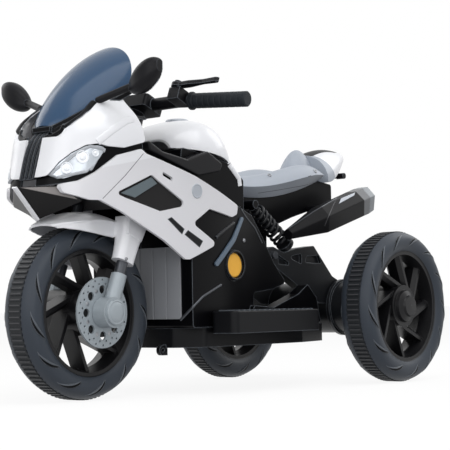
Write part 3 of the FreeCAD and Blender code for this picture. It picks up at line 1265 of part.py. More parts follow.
def springs():
    top, foot = place(*SHOCK_TOP_share), place(*SHOCK_FOOT_share)
    axis = (top - foot).normalize()
    wire = size("spring_wire")
    length = (top - foot).Length - 2 * wire - size("damper_radius")
    turns = int(size("spring_turns"))
    first = ACROSS
    second = axis.cross(first)
    start = foot + ACROSS * size("spring_offset") + axis * wire / 2
    quarters = range(4 * turns + 1)
    stations = [helix_point(quarter / 4, start, axis, first, second, length, turns) for quarter in quarters]
    edges = []
    for (low, low_way), (high, high_way) in zip(stations, stations[1:]):
        edges += biarc(low, low_way, high, high_way)
    path = Part.Wire(edges)
    ring = Part.Wire([Part.Circle(stations[0][0], stations[0][1], wire).toShape()])
    coil = path.makePipeShell([ring], True, False)
    points = [point for point, _ in stations]
    least = min(a.distanceToPoint(b) for index, a in enumerate(points) for b in points[index + 3:])
    print(f"spring: least gap between turns {least - 2 * wire:.2f} mm")
    sleeve_low = foot + ACROSS * size("spring_offset") + axis * (length * RIM_share / 2)
    sleeve_top = top + ACROSS * size("spring_offset") - axis * size("damper_radius")
    sleeve = rod(sleeve_low, sleeve_top, size("damper_radius"))
    pair("shock_springs", coil)
    pair("shock_sleeves", sleeve)


# Dash panel behind the windscreen, with a push button and a rocker
DASH_shares = (0.529, 0.406)
DASH_HEIGHT_share = 0.765
BUTTON_share = (0.446, 0.206, 0.765)
ROCKER_share = (0.446, -0.206, 0.765)


def dash():
    low = DASH_HEIGHT_share * body_height
    thick = size("dash_thickness")
    front, rear = [share * wheelbase for share in DASH_shares]
    half = half_core(core_inset).common(box_between(Vector(rear, 0, low),
                                                    Vector(front, 2 * body_half_width, low + thick)))
    plate_shape = half.fuse(on_side(half, RIGHT)).removeSplitter()
    button_at, rocker_at = [place(*share) for share in (BUTTON_share, ROCKER_share)]
    radius = size("button_radius")
    half_x, half_y = size("rocker_length") / 2, size("rocker_width") / 2
    gap = body_gap
    holes = [Part.makeCylinder(radius + gap / 2, overrun,
                               Vector(button_at.x, button_at.y, low - overrun / 2)),
             box_between(Vector(rocker_at.x - half_x - gap, rocker_at.y - half_y - gap, low - overrun / 2),
                         Vector(rocker_at.x + half_x + gap, rocker_at.y + half_y + gap, low + overrun / 2))]
    pin = rod(Vector(rocker_at.x, rocker_at.y - half_y - 2 * gap, low + thick / 2),
              Vector(rocker_at.x, rocker_at.y + half_y + 2 * gap, low + thick / 2), wall / 2)
    shaped("dash_panel", plate_shape.cut(holes).fuse(pin).removeSplitter())
    stem = Part.makeCylinder(radius, size("button_height") + thick, Vector(button_at.x, button_at.y, low))
    top = [edge for edge in stem.Edges if edge.BoundBox.ZMin > low + thick]
    shaped("power_button", stem.makeFillet(wall / 2, top))
    crest = low + thick + size("button_height") / 2
    profile = [Vector(rocker_at.x - half_x + gap, rocker_at.y - half_y, low + thick / 2 - wall / 2 - gap),
               Vector(rocker_at.x + half_x - gap, rocker_at.y - half_y, low + thick / 2 - wall / 2 - gap),
               Vector(rocker_at.x + half_x - gap, rocker_at.y - half_y, crest + gap),
               Vector(rocker_at.x, rocker_at.y - half_y, crest - gap),
               Vector(rocker_at.x - half_x + gap, rocker_at.y - half_y, crest + gap)]
    rocker = prism(profile, wall / 2, Vector(0, 2 * half_y, 0))
    shaped("direction_switch", rocker.cut(rod(Vector(rocker_at.x, rocker_at.y - overrun, low + thick / 2),
                                             Vector(rocker_at.x, rocker_at.y + overrun, low + thick / 2),
                                             wall / 2 + size("running_fit"))))


for build in (
        front_body, wheels, fork, handlebar, hand_controls, fender, windscreen, grille, beak, mirrors, tank,
        body_halves, inner_units, chassis_base, radiator_panel, footrests, side_trims, seat, mufflers,
        swing_arm, springs, dash):
    build()

doc.recompute()
for item in doc.Objects:
    if "Invalid" in item.State or "Error" in item.State:
        raise RuntimeError(f"{item.Label} failed: {item.State}")
for item in pieces:
    if item.Shape.isNull() or not item.Shape.isValid():
        raise RuntimeError(f"{item.Label} has no valid shape")
os.makedirs("parts", exist_ok=True)
for item in pieces:
    item.Shape.exportStep(f"parts/{item.Label}.step")
    print(f"{item.Label}: {len(item.Shape.Solids)} solids, {item.Shape.Volume:.0f} mm3")
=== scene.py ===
"""Looks of the three-wheeled ride-on: camera, light, materials and fine detail, in metres."""
import math

import bmesh
import bpy
from mathutils import Matrix, Vector
from mathutils.bvhtree import BVHTree


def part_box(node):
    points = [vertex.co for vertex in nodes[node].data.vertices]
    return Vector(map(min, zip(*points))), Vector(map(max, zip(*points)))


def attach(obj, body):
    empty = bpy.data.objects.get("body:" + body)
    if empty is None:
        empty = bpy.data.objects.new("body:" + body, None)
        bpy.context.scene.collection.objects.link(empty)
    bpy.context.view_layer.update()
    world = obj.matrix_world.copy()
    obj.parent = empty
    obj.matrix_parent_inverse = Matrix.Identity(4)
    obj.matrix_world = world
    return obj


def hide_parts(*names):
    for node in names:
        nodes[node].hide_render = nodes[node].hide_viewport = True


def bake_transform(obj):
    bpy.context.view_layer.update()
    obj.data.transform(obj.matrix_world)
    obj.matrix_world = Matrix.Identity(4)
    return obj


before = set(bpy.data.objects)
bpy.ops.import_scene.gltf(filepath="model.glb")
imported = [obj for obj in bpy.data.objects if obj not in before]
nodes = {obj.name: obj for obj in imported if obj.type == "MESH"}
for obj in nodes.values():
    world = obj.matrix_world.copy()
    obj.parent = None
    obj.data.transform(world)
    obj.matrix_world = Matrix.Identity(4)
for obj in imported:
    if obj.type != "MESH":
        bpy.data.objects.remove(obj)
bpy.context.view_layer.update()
scene = bpy.context.scene

# Camera: where the photograph was taken from, worked out from the wheels
IMAGE_PIXELS = 450
FOCAL_PIXELS = 1380.4
CENTRE_PIXELS = (-22.45, 8.25)
CAMERA_PLACE = Vector((1.9412, 1.6249, 0.1529))
CAMERA_AZIMUTH = 0.8739
CAMERA_PITCH = math.radians(2.96)
CAMERA_ROLL = math.radians(-1.07)
SENSOR = 36.0


def camera_axes():
    level = Vector((-math.sin(CAMERA_AZIMUTH), -math.cos(CAMERA_AZIMUTH), 0))
    right = Vector((level.y, -level.x, 0))
    ahead = level * math.cos(CAMERA_PITCH) + Vector((0, 0, math.sin(CAMERA_PITCH)))
    up = right.cross(ahead)
    tilted_right = right * math.cos(CAMERA_ROLL) + up * math.sin(CAMERA_ROLL)
    tilted_up = up * math.cos(CAMERA_ROLL) - right * math.sin(CAMERA_ROLL)
    return tilted_right, tilted_up, ahead


def make_camera():
    right, up, ahead = camera_axes()
    data = bpy.data.cameras.new("photo_camera")
    data.sensor_width = SENSOR
    data.lens = FOCAL_PIXELS / IMAGE_PIXELS * SENSOR
    data.shift_x = -CENTRE_PIXELS[0] / IMAGE_PIXELS
    data.shift_y = CENTRE_PIXELS[1] / IMAGE_PIXELS
    camera = bpy.data.objects.new("photo_camera", data)
    turn = Matrix((right, up, -ahead)).transposed().to_4x4()
    camera.matrix_world = Matrix.Translation(CAMERA_PLACE) @ turn
    scene.collection.objects.link(camera)
    scene.camera = camera


# Studio: a pale floor that keeps a soft shadow, a white world, and large soft lamps.
# Each lamp has its place, what it points at, its width and its power.
FLOOR_HALF = 30.0
FLOOR_DROP = 0.0005
FLOOR_GLOW = 0.90
FLOOR_PLAIN = (0.40, 0.40, 0.41, 1)
WORLD_LIGHT = 0.48
FULL_WHITE = (1, 1, 1, 1)
LAMPS = {
    "key": ((0.5, 1.3, 2.6), (0.0, 0.0, 0.3), 2.2, 36.0),
    "front": ((2.8, 0.6, 1.3), (0.2, 0.0, 0.3), 1.8, 20.0),
    "fill": ((1.5, 2.0, 0.45), (0.1, 0.0, 0.25), 1.5, 13.0),
    "back": ((-2.2, 0.6, 1.8), (0.0, 0.0, 0.3), 1.6, 15.0),
    "far": ((0.4, -2.4, 1.8), (0.0, 0.0, 0.3), 1.6, 15.0),
}


def background_rays(tree):
    """One for the rays that see the background: straight from the camera, mirrored, or through glass."""
    path = tree.nodes.new("ShaderNodeLightPath")
    mirrored_too = tree.nodes.new("ShaderNodeMath")
    mirrored_too.operation = "MAXIMUM"
    either = tree.nodes.new("ShaderNodeMath")
    either.operation = "MAXIMUM"
    tree.links.new(path.outputs["Is Camera Ray"], mirrored_too.inputs[0])
    tree.links.new(path.outputs["Is Glossy Ray"], mirrored_too.inputs[1])
    tree.links.new(mirrored_too.outputs[0], either.inputs[0])
    tree.links.new(path.outputs["Is Transmission Ray"], either.inputs[1])
    return either.outputs[0]


def make_world():
    world = bpy.data.worlds.new("studio")
    scene.world = world
    world.use_nodes = True
    tree = world.node_tree
    tree.nodes.clear()
    out = tree.nodes.new("ShaderNodeOutputWorld")
    mix = tree.nodes.new("ShaderNodeMixShader")
    soft = tree.nodes.new("ShaderNodeBackground")
    soft.inputs["Strength"].default_value = WORLD_LIGHT
    white = tree.nodes.new("ShaderNodeBackground")
    for background in (soft, white):
        background.inputs["Color"].default_value = FULL_WHITE
    tree.links.new(background_rays(tree), mix.inputs[0])
    tree.links.new(soft.outputs[0], mix.inputs[1])
    tree.links.new(white.outputs[0], mix.inputs[2])
    tree.links.new(mix.outputs[0], out.inputs[0])


def make_floor():
    mesh = bpy.data.meshes.new("floor")
    reach = (-FLOOR_HALF, FLOOR_HALF)
    corners = [(x, y, -FLOOR_DROP) for x in reach for y in reach]
    mesh.from_pydata(corners, [], [(0, 2, 3, 1)])
    floor = bpy.data.objects.new("floor", mesh)
    scene.collection.objects.link(floor)
    paint = bpy.data.materials.new("floor_paint")
    paint.use_nodes = True
    tree = paint.node_tree
    tree.nodes.clear()
    out = tree.nodes.new("ShaderNodeOutputMaterial")
    pale = tree.nodes.new("ShaderNodeBsdfDiffuse")
    pale.inputs["Color"].default_value = FULL_WHITE
    plain = tree.nodes.new("ShaderNodeBsdfDiffuse")
    plain.inputs["Color"].default_value = FLOOR_PLAIN
    glow = tree.nodes.new("ShaderNodeEmission")
    shown = tree.nodes.new("ShaderNodeMixShader")
    shown.inputs[0].default_value = FLOOR_GLOW
    mix = tree.nodes.new("ShaderNodeMixShader")
    tree.links.new(pale.outputs[0], shown.inputs[1])
    tree.links.new(glow.outputs[0], shown.inputs[2])
    tree.links.new(background_rays(tree), mix.inputs[0])
    tree.links.new(plain.outputs[0], mix.inputs[1])
    tree.links.new(shown.outputs[0], mix.inputs[2])
    tree.links.new(mix.outputs[0], out.inputs[0])
    mesh.materials.append(paint)


def make_lamps():
    for name, (place, aim, width, power) in LAMPS.items():
        data = bpy.data.lights.new(name, "AREA")
        data.size = width
        data.energy = power
        lamp = bpy.data.objects.new(name, data)
        lamp.location = place
        lamp.rotation_mode = "QUATERNION"
        lamp.rotation_quaternion = (Vector(aim) - Vector(place)).to_track_quat("-Z", "Y")
        scene.collection.objects.link(lamp)


# Materials: colour and gloss vary slowly, a fine grain lifts the surface, and edges get a painted highlight
SOFT_EDGE = 0.0012
BOLT_EDGE = 0.0003
EDGE_SAMPLES = 6
SLOW_SCALE = 14.0
SLOW_DETAIL = 4.0
FINE_GRAIN = 900.0
FINE_DETAIL = 3.0
LEAST_ROUGH = 0.02
RELIEF_DEPTH = 0.0004
# Painted highlight: a pale blue-grey laid along the sharp edges of black parts
HIGHLIGHT_EDGE = 0.0030
HIGHLIGHT_FROM = 0.97
HIGHLIGHT_TO = 0.80
EDGE_HIGHLIGHT_BLACK = (0.130, 0.145, 0.165)


def surface(name, colour, rough, grain=FINE_GRAIN, bump=0.08, spread=0.06, rough_spread=0.06, metal=0.0,
            coat=0.0, coat_rough=0.08, through=0.0, specular=0.5, soft_edge=SOFT_EDGE, edge_highlight=None):
    material = bpy.data.materials.new(name)
    material.use_nodes = True
    tree = material.node_tree
    shader = tree.nodes["Principled BSDF"]
    shader.inputs["Metallic"].default_value = metal
    shader.inputs["Coat Weight"].default_value = coat
    shader.inputs["Coat Roughness"].default_value = coat_rough
    shader.inputs["Transmission Weight"].default_value = through
    shader.inputs["Specular IOR Level"].default_value = specular
    where = tree.nodes.new("ShaderNodeTexCoord")
    slow = tree.nodes.new("ShaderNodeTexNoise")
    slow.inputs["Scale"].default_value = SLOW_SCALE
    slow.inputs["Detail"].default_value = SLOW_DETAIL
    fine = tree.nodes.new("ShaderNodeTexNoise")
    fine.inputs["Scale"].default_value = grain
    fine.inputs["Detail"].default_value = FINE_DETAIL
    tint = tree.nodes.new("ShaderNodeMix")
    tint.name = "tint"
    tint.data_type = "RGBA"
    dark = tuple(channel * (1 - spread) for channel in colour)
    light = tuple(min(1.0, channel * (1 + spread)) for channel in colour)
    tint.inputs["A"].default_value = (*dark, 1)
    tint.inputs["B"].default_value = (*light, 1)
    gloss = tree.nodes.new("ShaderNodeMapRange")
    gloss.name = "gloss"
    gloss.inputs["To Min"].default_value = max(LEAST_ROUGH, rough - rough_spread)
    gloss.inputs["To Max"].default_value = min(1.0, rough + rough_spread)
    relief = tree.nodes.new("ShaderNodeBump")
    relief.inputs["Strength"].default_value = bump
    relief.inputs["Distance"].default_value = RELIEF_DEPTH
    tree.links.new(where.outputs["Object"], slow.inputs["Vector"])
    tree.links.new(where.outputs["Object"], fine.inputs["Vector"])
    tree.links.new(slow.outputs["Fac"], tint.inputs["Factor"])
    tree.links.new(slow.outputs["Fac"], gloss.inputs["Value"])
    tree.links.new(fine.outputs["Fac"], relief.inputs["Height"])
    tree.links.new(tint.outputs["Result"], shader.inputs["Base Color"])
    tree.links.new(gloss.outputs["Result"], shader.inputs["Roughness"])
    tree.links.new(relief.outputs["Normal"], shader.inputs["Normal"])
    if soft_edge:
        tree.links.new(rounded_normal(tree, soft_edge), relief.inputs["Normal"])
    if edge_highlight:
        paint_edge_highlights(tree, tint, shader, edge_highlight)
    return material


def rounded_normal(tree, radius):
    rounded = tree.nodes.new("ShaderNodeBevel")
    rounded.samples = EDGE_SAMPLES
    rounded.inputs["Radius"].default_value = radius
    return rounded.outputs["Normal"]


def paint_edge_highlights(tree, tint, shader, colour):
    """Paints a highlight along a surface's sharp edges, where a rounded normal turns away from the true one.
    """
    true = tree.nodes.new("ShaderNodeNewGeometry")
    turn = tree.nodes.new("ShaderNodeVectorMath")
    turn.operation = "DOT_PRODUCT"
    share = tree.nodes.new("ShaderNodeMapRange")
    share.inputs["From Min"].default_value = HIGHLIGHT_FROM
    share.inputs["From Max"].default_value = HIGHLIGHT_TO
    pale = tree.nodes.new("ShaderNodeMix")
    pale.data_type = "RGBA"
    pale.inputs["B"].default_value = (*colour, 1)
    tree.links.new(rounded_normal(tree, HIGHLIGHT_EDGE), turn.inputs[0])
    tree.links.new(true.outputs["Normal"], turn.inputs[1])
    tree.links.new(turn.outputs["Value"], share.inputs["Value"])
    tree.links.new(share.outputs["Result"], pale.inputs["Factor"])
    tree.links.new(tint.outputs["Result"], pale.inputs["A"])
    tree.links.new(pale.outputs["Result"], shader.inputs["Base Color"])


def zone(material, colour, rough, normal, centre, start, blur):
    """Paints what lies further than start from centre, along normal or, for a wheel, from its axle."""
    tree = material.node_tree
    shader = tree.nodes["Principled BSDF"]
    where = tree.nodes.new("ShaderNodeTexCoord")
    apart = tree.nodes.new("ShaderNodeVectorMath")
    apart.operation = "SUBTRACT"
    apart.inputs[1].default_value = centre
    measure = tree.nodes.new("ShaderNodeVectorMath")
    tree.links.new(where.outputs["Object"], apart.inputs[0])
    if normal is None:
        flat = tree.nodes.new("ShaderNodeVectorMath")
        flat.operation = "MULTIPLY"
        flat.inputs[1].default_value = (1, 0, 1)
        tree.links.new(apart.outputs[0], flat.inputs[0])
        measure.operation = "LENGTH"
        tree.links.new(flat.outputs[0], measure.inputs[0])
    else:
        measure.operation = "DOT_PRODUCT"
        measure.inputs[1].default_value = normal
        tree.links.new(apart.outputs[0], measure.inputs[0])
    share = tree.nodes.new("ShaderNodeMapRange")
    share.inputs["From Min"].default_value = start - blur
    share.inputs["From Max"].default_value = start + blur
    tree.links.new(measure.outputs["Value"], share.inputs["Value"])
    tint = tree.nodes.new("ShaderNodeMix")
    tint.data_type = "RGBA"
    tint.inputs["B"].default_value = (*colour, 1)
    gloss = tree.nodes.new("ShaderNodeMix")
    gloss.inputs["B"].default_value = rough
    for mix, old, socket in ((tint, "tint", "Base Color"), (gloss, "gloss", "Roughness")):
        tree.links.new(share.outputs["Result"], mix.inputs["Factor"])
        tree.links.new(tree.nodes[old].outputs["Result"], mix.inputs["A"])
        tree.links.new(mix.outputs["Result"], shader.inputs[socket])
    return material


WHITE = (0.78, 0.79, 0.82)
WHITE_GLOSS = {"rough": 0.30, "bump": 0.015, "spread": 0.015, "coat": 0.25}
SEAT_GREY = (0.35, 0.385, 0.44)
SEAT_ROUGH = 0.50
PAINT = {
    "white": surface("white_gloss", WHITE, **WHITE_GLOSS),
    # Black gloss: real black parts, and also the painted shade in the tyre claws' grooves
    "black_gloss_and_groove_shade": surface("black_gloss_and_groove_shade", (0.002, 0.002, 0.0027), 0.30, bump=0.03, spread=0.15,
                           specular=0.075, edge_highlight=EDGE_HIGHLIGHT_BLACK),
    "black_satin": surface("black_satin", (0.005, 0.005, 0.0065), 0.40, bump=0.10, spread=0.15,
                           specular=0.15, edge_highlight=EDGE_HIGHLIGHT_BLACK),
    "black_matte": surface("black_matte", (0.0045, 0.0048, 0.006), 0.46, bump=0.18, spread=0.15,
                           specular=0.13, edge_highlight=EDGE_HIGHLIGHT_BLACK),
    "black_sheen": surface("black_sheen", (0.009, 0.010, 0.012), 0.34, bump=0.12, spread=0.15,
                           specular=0.26, edge_highlight=EDGE_HIGHLIGHT_BLACK),
    "dark_panel": surface("dark_panel", (0.017, 0.0165, 0.017), 0.34, bump=0.05, spread=0.12, specular=0.10),
    "tread": surface("tread_rubber", (0.014, 0.016, 0.019), 0.50, bump=0.20, spread=0.15, specular=0.25),
    "grip": surface("grip_rubber", (0.009, 0.012, 0.016), 0.55, bump=0.30, spread=0.15, specular=0.22),
    "silver": surface("silver_satin", (0.32, 0.36, 0.39), 0.38, bump=0.06, spread=0.05, metal=0.15),
    "pale_silver": surface("pale_silver", (0.42, 0.45, 0.50), 0.34, bump=0.05, spread=0.05, metal=0.1),
    "cap_silver": surface("cap_silver", (0.20, 0.22, 0.24), 0.36, bump=0.05, spread=0.05, metal=0.1),
    "grey": surface("grey_plastic", (0.27, 0.28, 0.30), 0.50, bump=0.15),
    "taupe": surface("taupe_panel", (0.20, 0.185, 0.18), 0.40, bump=0.08),
    "seat": surface("grey_seat", SEAT_GREY, SEAT_ROUGH, bump=0.25),
    # The real dark metal parts, and paler ribs painting highlight lines on body edges and creases
    "steel": surface("dark_steel_and_highlight", (0.07, 0.075, 0.085), 0.30, bump=0.03, metal=0.6),
    "bolt": surface("bolt_steel", (0.30, 0.31, 0.33), 0.30, bump=0.03, metal=0.8, soft_edge=BOLT_EDGE),
    "seam": surface("panel_seam", (0.05, 0.05, 0.055), 0.60, bump=0.05, soft_edge=0),
    # Paler than the tyre: painted highlight on the claw lips
    "claw_lip_highlight": surface("claw_lip_highlight", (0.078, 0.090, 0.107), 0.40, bump=0.10, spread=0.15, specular=0.4,
                        soft_edge=0),
    "lamp_frame": surface("lamp_frame", (0.36, 0.38, 0.41), 0.30, bump=0.03, spread=0.04, soft_edge=0),
    "mirror": surface("mirror_glass", (0.80, 0.82, 0.85), 0.05, bump=0.0, spread=0.02, rough_spread=0.02,
                      metal=1.0, soft_edge=0),
    "smoke": surface("smoke_screen", (0.030, 0.072, 0.145), 0.20, bump=0.0, spread=0.05, rough_spread=0.03,
                     through=0.08, coat=0.04, specular=0.22, soft_edge=0),
    "lens": surface("lamp_glass", (0.50, 0.54, 0.59), 0.16, grain=95.0, bump=1.0, spread=0.45,
                    rough_spread=0.10, metal=0.35, coat=0.8, soft_edge=0),
    "bulb": surface("lamp_bulb", (0.86, 0.89, 0.93), 0.10, bump=0.02, spread=0.03, coat=0.8, soft_edge=0),
    # Painted sheen on the upper facet of each air duct
    "painted_sheen_slate": surface("painted_sheen_facet", (0.095, 0.125, 0.142), 0.34, bump=0.08),
    "amber": surface("amber_lens", (0.88, 0.46, 0.06), 0.34, grain=260.0, bump=0.5, spread=0.14,
                     specular=0.2),
    "red": surface("red_lens", (0.45, 0.02, 0.02), 0.15, bump=0.03, spread=0.10, coat=0.5),
    "blue_grey": surface("blue_grey", (0.09, 0.13, 0.18), 0.36, bump=0.08),
}
FINISH = {
    "white": ("left_nose_cowl", "right_nose_cowl", "tank_cover", "front_mudguard"),
    "smoke": ("windscreen",),
    "lens": ("headlamp_lenses",),
    "black_gloss_and_groove_shade": ("headlamp_shells", "left_body_half", "right_body_half", "windscreen_trim", "nose_grille"),
    "dark_panel": ("nose_beak", "air_ducts"),
    "black_sheen": ("swing_arm", "gear_motors", "shock_springs", "shock_sleeves"),
    "black_satin": ("mirrors", "knee_panels", "tail_top", "handlebar", "fork_crown", "left_lever",
                    "right_lever", "dash_panel", "rear_indicators", "direction_switch"),
    "black_matte": ("chassis_base", "footrests", "accelerator_pedal", "control_box", "steering_bush",
                    "battery"),
    "tread": ("front_tread", "left_rear_tread", "right_rear_tread"),
    "grip": ("grips",),
    "silver": ("brake_disc", "fork_legs"),
    "pale_silver": ("tank_cap",),
    "cap_silver": ("muffler_caps",),
    "grey": ("radiator_panel",),
    "blue_grey": ("side_trims",),
    "seat": ("seat", "seat_hump"),
    "steel": ("fork_tubes", "front_axle", "rear_axle", "swing_pivot"),
    "mirror": ("mirror_glasses",),
    "amber": ("side_lamps",),
    "red": ("tail_lamp", "power_button"),
}

# Nodes in two colours: black rims in grey tyres, grey muffler ends, a part grey tail, painted shade on
# fairings
WHEELS = {"front_wheel": "front_wheel_spin", "left_rear_wheel": "left_wheel_spin",
          "right_rear_wheel": "right_wheel_spin"}
FAIRINGS = ("left_side_fairing", "right_side_fairing")
RIM_share = 0.745
RIM_COLOUR = (0.006, 0.006, 0.007)
RIM_FINISH = {"rough": 0.36, "bump": 0.10, "spread": 0.15, "specular": 0.24}
TYRE_COLOUR = (0.036, 0.044, 0.057)
TYRE_ROUGH = 0.46
TYRE_BLUR = 0.0006
CAN_COLOUR = (0.004, 0.004, 0.005)
CAN_FINISH = {"rough": 0.42, "bump": 0.10, "spread": 0.15, "specular": 0.10}
CAN_END = 0.062
CAN_AXIS = Vector((-0.92, 0, 0.39))
CAN_END_COLOUR = (0.21, 0.215, 0.225)
CAN_END_ROUGH = 0.40
CAN_BLUR = 0.0004
# Painted shade: the side fairings turn a darker white below the plane of their crease
PAINTED_SHADE_WHITE = (0.69, 0.69, 0.72)
PAINTED_SHADE_ROUGH = 0.32
CREASE_PLACE = Vector((0.386, 0, 0.369))
CREASE_NORMAL = Vector((-0.21, 0, -0.98))
CREASE_BLUR = 0.0012
TAIL_PLACE = Vector((-0.336, 0, 0.430))
TAIL_NORMAL = Vector((0.80, 0, -0.60))
TAIL_BLUR = 0.0006
boxes = {name: [Vector(corner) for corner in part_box(name)] for name in nodes}


def middle(name):
    low, high = boxes[name]
    return (low + high) / 2


def wheel_radius(name):
    low, high = boxes[name]
    return (high.z - low.z) / 2


def dress(name, material):
    item = nodes[name]
    item.data.materials.clear()
    item.data.materials.append(material)


def dress_nodes():
    for paint, names in FINISH.items():
        for name in names:
            dress(name, PAINT[paint])
    for name in WHEELS:
        rim = surface(f"{name}_plastic", RIM_COLOUR, **RIM_FINISH)
        start = RIM_share * wheel_radius(name)
        dress(name, zone(rim, TYRE_COLOUR, TYRE_ROUGH, None, middle(name), start, TYRE_BLUR))
    can = surface("muffler_can", CAN_COLOUR, **CAN_FINISH)
    low, high = boxes["muffler_caps"]
    tip = Vector((low.x, 0, high.z))
    dress("mufflers", zone(can, CAN_END_COLOUR, CAN_END_ROUGH, CAN_AXIS, tip, -CAN_END, CAN_BLUR))
    for name in FAIRINGS:
        # Painted shade on each fairing below its crease
        shell = surface(f"{name}_white", WHITE, **WHITE_GLOSS)
        dress(name, zone(shell, PAINTED_SHADE_WHITE, PAINTED_SHADE_ROUGH, CREASE_NORMAL, CREASE_PLACE, 0, CREASE_BLUR))
    tail = surface("tail_white", WHITE, **WHITE_GLOSS)
    dress("tail_cowl", zone(tail, SEAT_GREY, SEAT_ROUGH, TAIL_NORMAL, TAIL_PLACE, 0, TAIL_BLUR))


# Mesh pieces, placed where the photograph shows them on the node that carries them
SIDES = (1, -1)
trees = {}


def tree_of(name):
    if name not in trees:
        mesh = nodes[name].data
        corners = [vertex.co for vertex in mesh.vertices]
        trees[name] = BVHTree.FromPolygons(corners, [face.vertices for face in mesh.polygons])
    return trees[name]


def seen(name, pixel):
    """The place on a node that the photograph shows at a pixel, or nearest to it, and the way it faces."""
    right, up, ahead = camera_axes()
    across = (pixel[0] - IMAGE_PIXELS / 2 - CENTRE_PIXELS[0]) / FOCAL_PIXELS
    down = (pixel[1] - IMAGE_PIXELS / 2 - CENTRE_PIXELS[1]) / FOCAL_PIXELS
    sight = (ahead + right * across - up * down).normalized()
    place, facing, _, _ = tree_of(name).ray_cast(CAMERA_PLACE, sight)
    if place is None:
        depth = (middle(name) - CAMERA_PLACE).dot(sight)
        place, facing, _, _ = tree_of(name).find_nearest(CAMERA_PLACE + sight * depth)
    return place, (facing if facing.dot(sight) < 0 else -facing)


PIXEL_STEP = 1.2
LEAST_STEPS = 2
EVEN_SPOTS = 2


def traced(name, pixels):
    """Places on a node along a line of pixels, each with a surface direction that is even along the line."""
    spots = []
    for first, last in zip(pixels, pixels[1:]):
        first, last = Vector(first), Vector(last)
        count = max(LEAST_STEPS, int((last - first).length / PIXEL_STEP))
        spots += [seen(name, first.lerp(last, turn / count)) for turn in range(count)]
    spots.append(seen(name, pixels[-1]))
    even = []
    for turn, (place, _) in enumerate(spots):
        near = spots[max(0, turn - EVEN_SPOTS):turn + EVEN_SPOTS + 1]
        even.append((place, sum((facing for _, facing in near), Vector()).normalized()))
    return even


def mirrored(spots, side):
    flip = Vector((1, side, 1))
    return [(place * flip, facing * flip) for place, facing in spots]


def add_grid(mesh, rows, close_rows, close_ends):
    """Faces between rows of points; close_rows joins each row's ends, close_ends caps the outer rows."""
    grid = [[mesh.verts.new(point) for point in row] for row in rows]
    count = len(rows[0])
    for first, second in zip(grid, grid[1:]):
        for turn in range(count if close_rows else count - 1):
            after = (turn + 1) % count
            mesh.faces.new((first[turn], first[after], second[after], second[turn]))
    if close_ends:
        mesh.faces.new(grid[0][::-1])
        mesh.faces.new(grid[-1])


ARCH_STEPS = 6
ARCH = [math.pi * turn / ARCH_STEPS for turn in range(ARCH_STEPS + 1)]
SINK = 0.0006


def add_ribbon(mesh, spots, width, height, taper=0.0):
    """A low rounded rib along spots; taper narrows it towards its two ends."""
    rows = []
    last = len(spots) - 1
    for turn, (place, facing) in enumerate(spots):
        along = spots[min(last, turn + 1)][0] - spots[max(0, turn - 1)][0]
        across = facing.cross(along).normalized()
        share = 1 - taper * abs(2 * turn / last - 1) ** 2
        row = []
        for angle in ARCH:
            sideways = across * math.cos(angle) * width / 2 * share
            row.append(place + sideways + facing * math.sin(angle) * height * share)
        row.append(place - across * width / 2 * share - facing * SINK)
        row.append(place + across * width / 2 * share - facing * SINK)
        rows.append(row)
    add_grid(mesh, rows, True, True)


LATHE_TURNS = 28
ROUND_TURNS = 40


def add_lathe(mesh, profile, place, axis, turns=LATHE_TURNS):
    """A turned form: profile gives radius and height along axis from place, and both its ends are capped."""
    axis = Vector(axis).normalized()
    side = axis.orthogonal().normalized()
    other = axis.cross(side)
    rows = []
    for radius, height in profile:
        ring = []
        for turn in range(turns):
            angle = 2 * math.pi * turn / turns
            out = side * math.cos(angle) + other * math.sin(angle)
            ring.append(place + axis * height + out * radius)
        rows.append(ring)
    add_grid(mesh, rows, True, True)


MERGE = 1e-6


def add_sheet(mesh, grid, lift):
    """A thin plate over a grid of spots: its top stands lift above them and its foot sinks below them."""
    top = [[place + facing * lift for place, facing in row] for row in grid]
    foot = [[place - facing * SINK for place, facing in row] for row in grid]
    add_grid(mesh, top, False, False)
    add_grid(mesh, [row[::-1] for row in foot], False, False)
    rim = []
    for rows in (top, foot):
        right = [row[-1] for row in rows[1:]]
        left = [row[0] for row in rows[-2:0:-1]]
        rim.append(rows[0] + right + rows[-1][-2::-1] + left)
    add_grid(mesh, rim, True, False)
    bmesh.ops.remove_doubles(mesh, verts=mesh.verts, dist=MERGE)


def sheet_grid(name, corners, count):
    """Spots inside four pixels, in even rows and columns."""
    low, right, far, left = (Vector(corner) for corner in corners)
    grid = []
    for row in range(count + 1):
        start, stop = low.lerp(left, row / count), right.lerp(far, row / count)
        grid.append([seen(name, start.lerp(stop, turn / count)) for turn in range(count + 1)])
    return grid


SMOOTH_ANGLE = math.radians(38)


def piece(name, mesh, paint, body):
    bmesh.ops.recalc_face_normals(mesh, faces=mesh.faces)
    data = bpy.data.meshes.new(name)
    mesh.to_mesh(data)
    mesh.free()
    data.shade_smooth()
    data.set_sharp_from_angle(angle=SMOOTH_ANGLE)
    data.materials.append(PAINT[paint])
    item = bpy.data.objects.new(name, data)
    scene.collection.objects.link(item)
    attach(item, body)


# Front wheel: rivets on the brake disc and turned covers on the fork's hub.
# A profile in shares gives, from foot to top, a share of the radius and a height.
DISC_RIVETS = 8
DISC_RIVET_share = 0.647
DISC_RIVET_RADIUS = 0.0036
RIVET_shares = ((0.0002, -0.0006), (1.0, -0.0006), (1.0, 0.0002), (0.80, 0.0005), (0.0002, 0.0006))
HUB_COVER = ((0.0002, -0.001), (0.0205, -0.001), (0.0205, 0.0006), (0.0196, 0.0014), (0.0178, 0.0016),
             (0.0170, 0.0008), (0.0160, 0.0016), (0.010, 0.0026), (0.0002, 0.0030))


def sized(shares, radius):
    return [(share * radius, height) for share, height in shares]


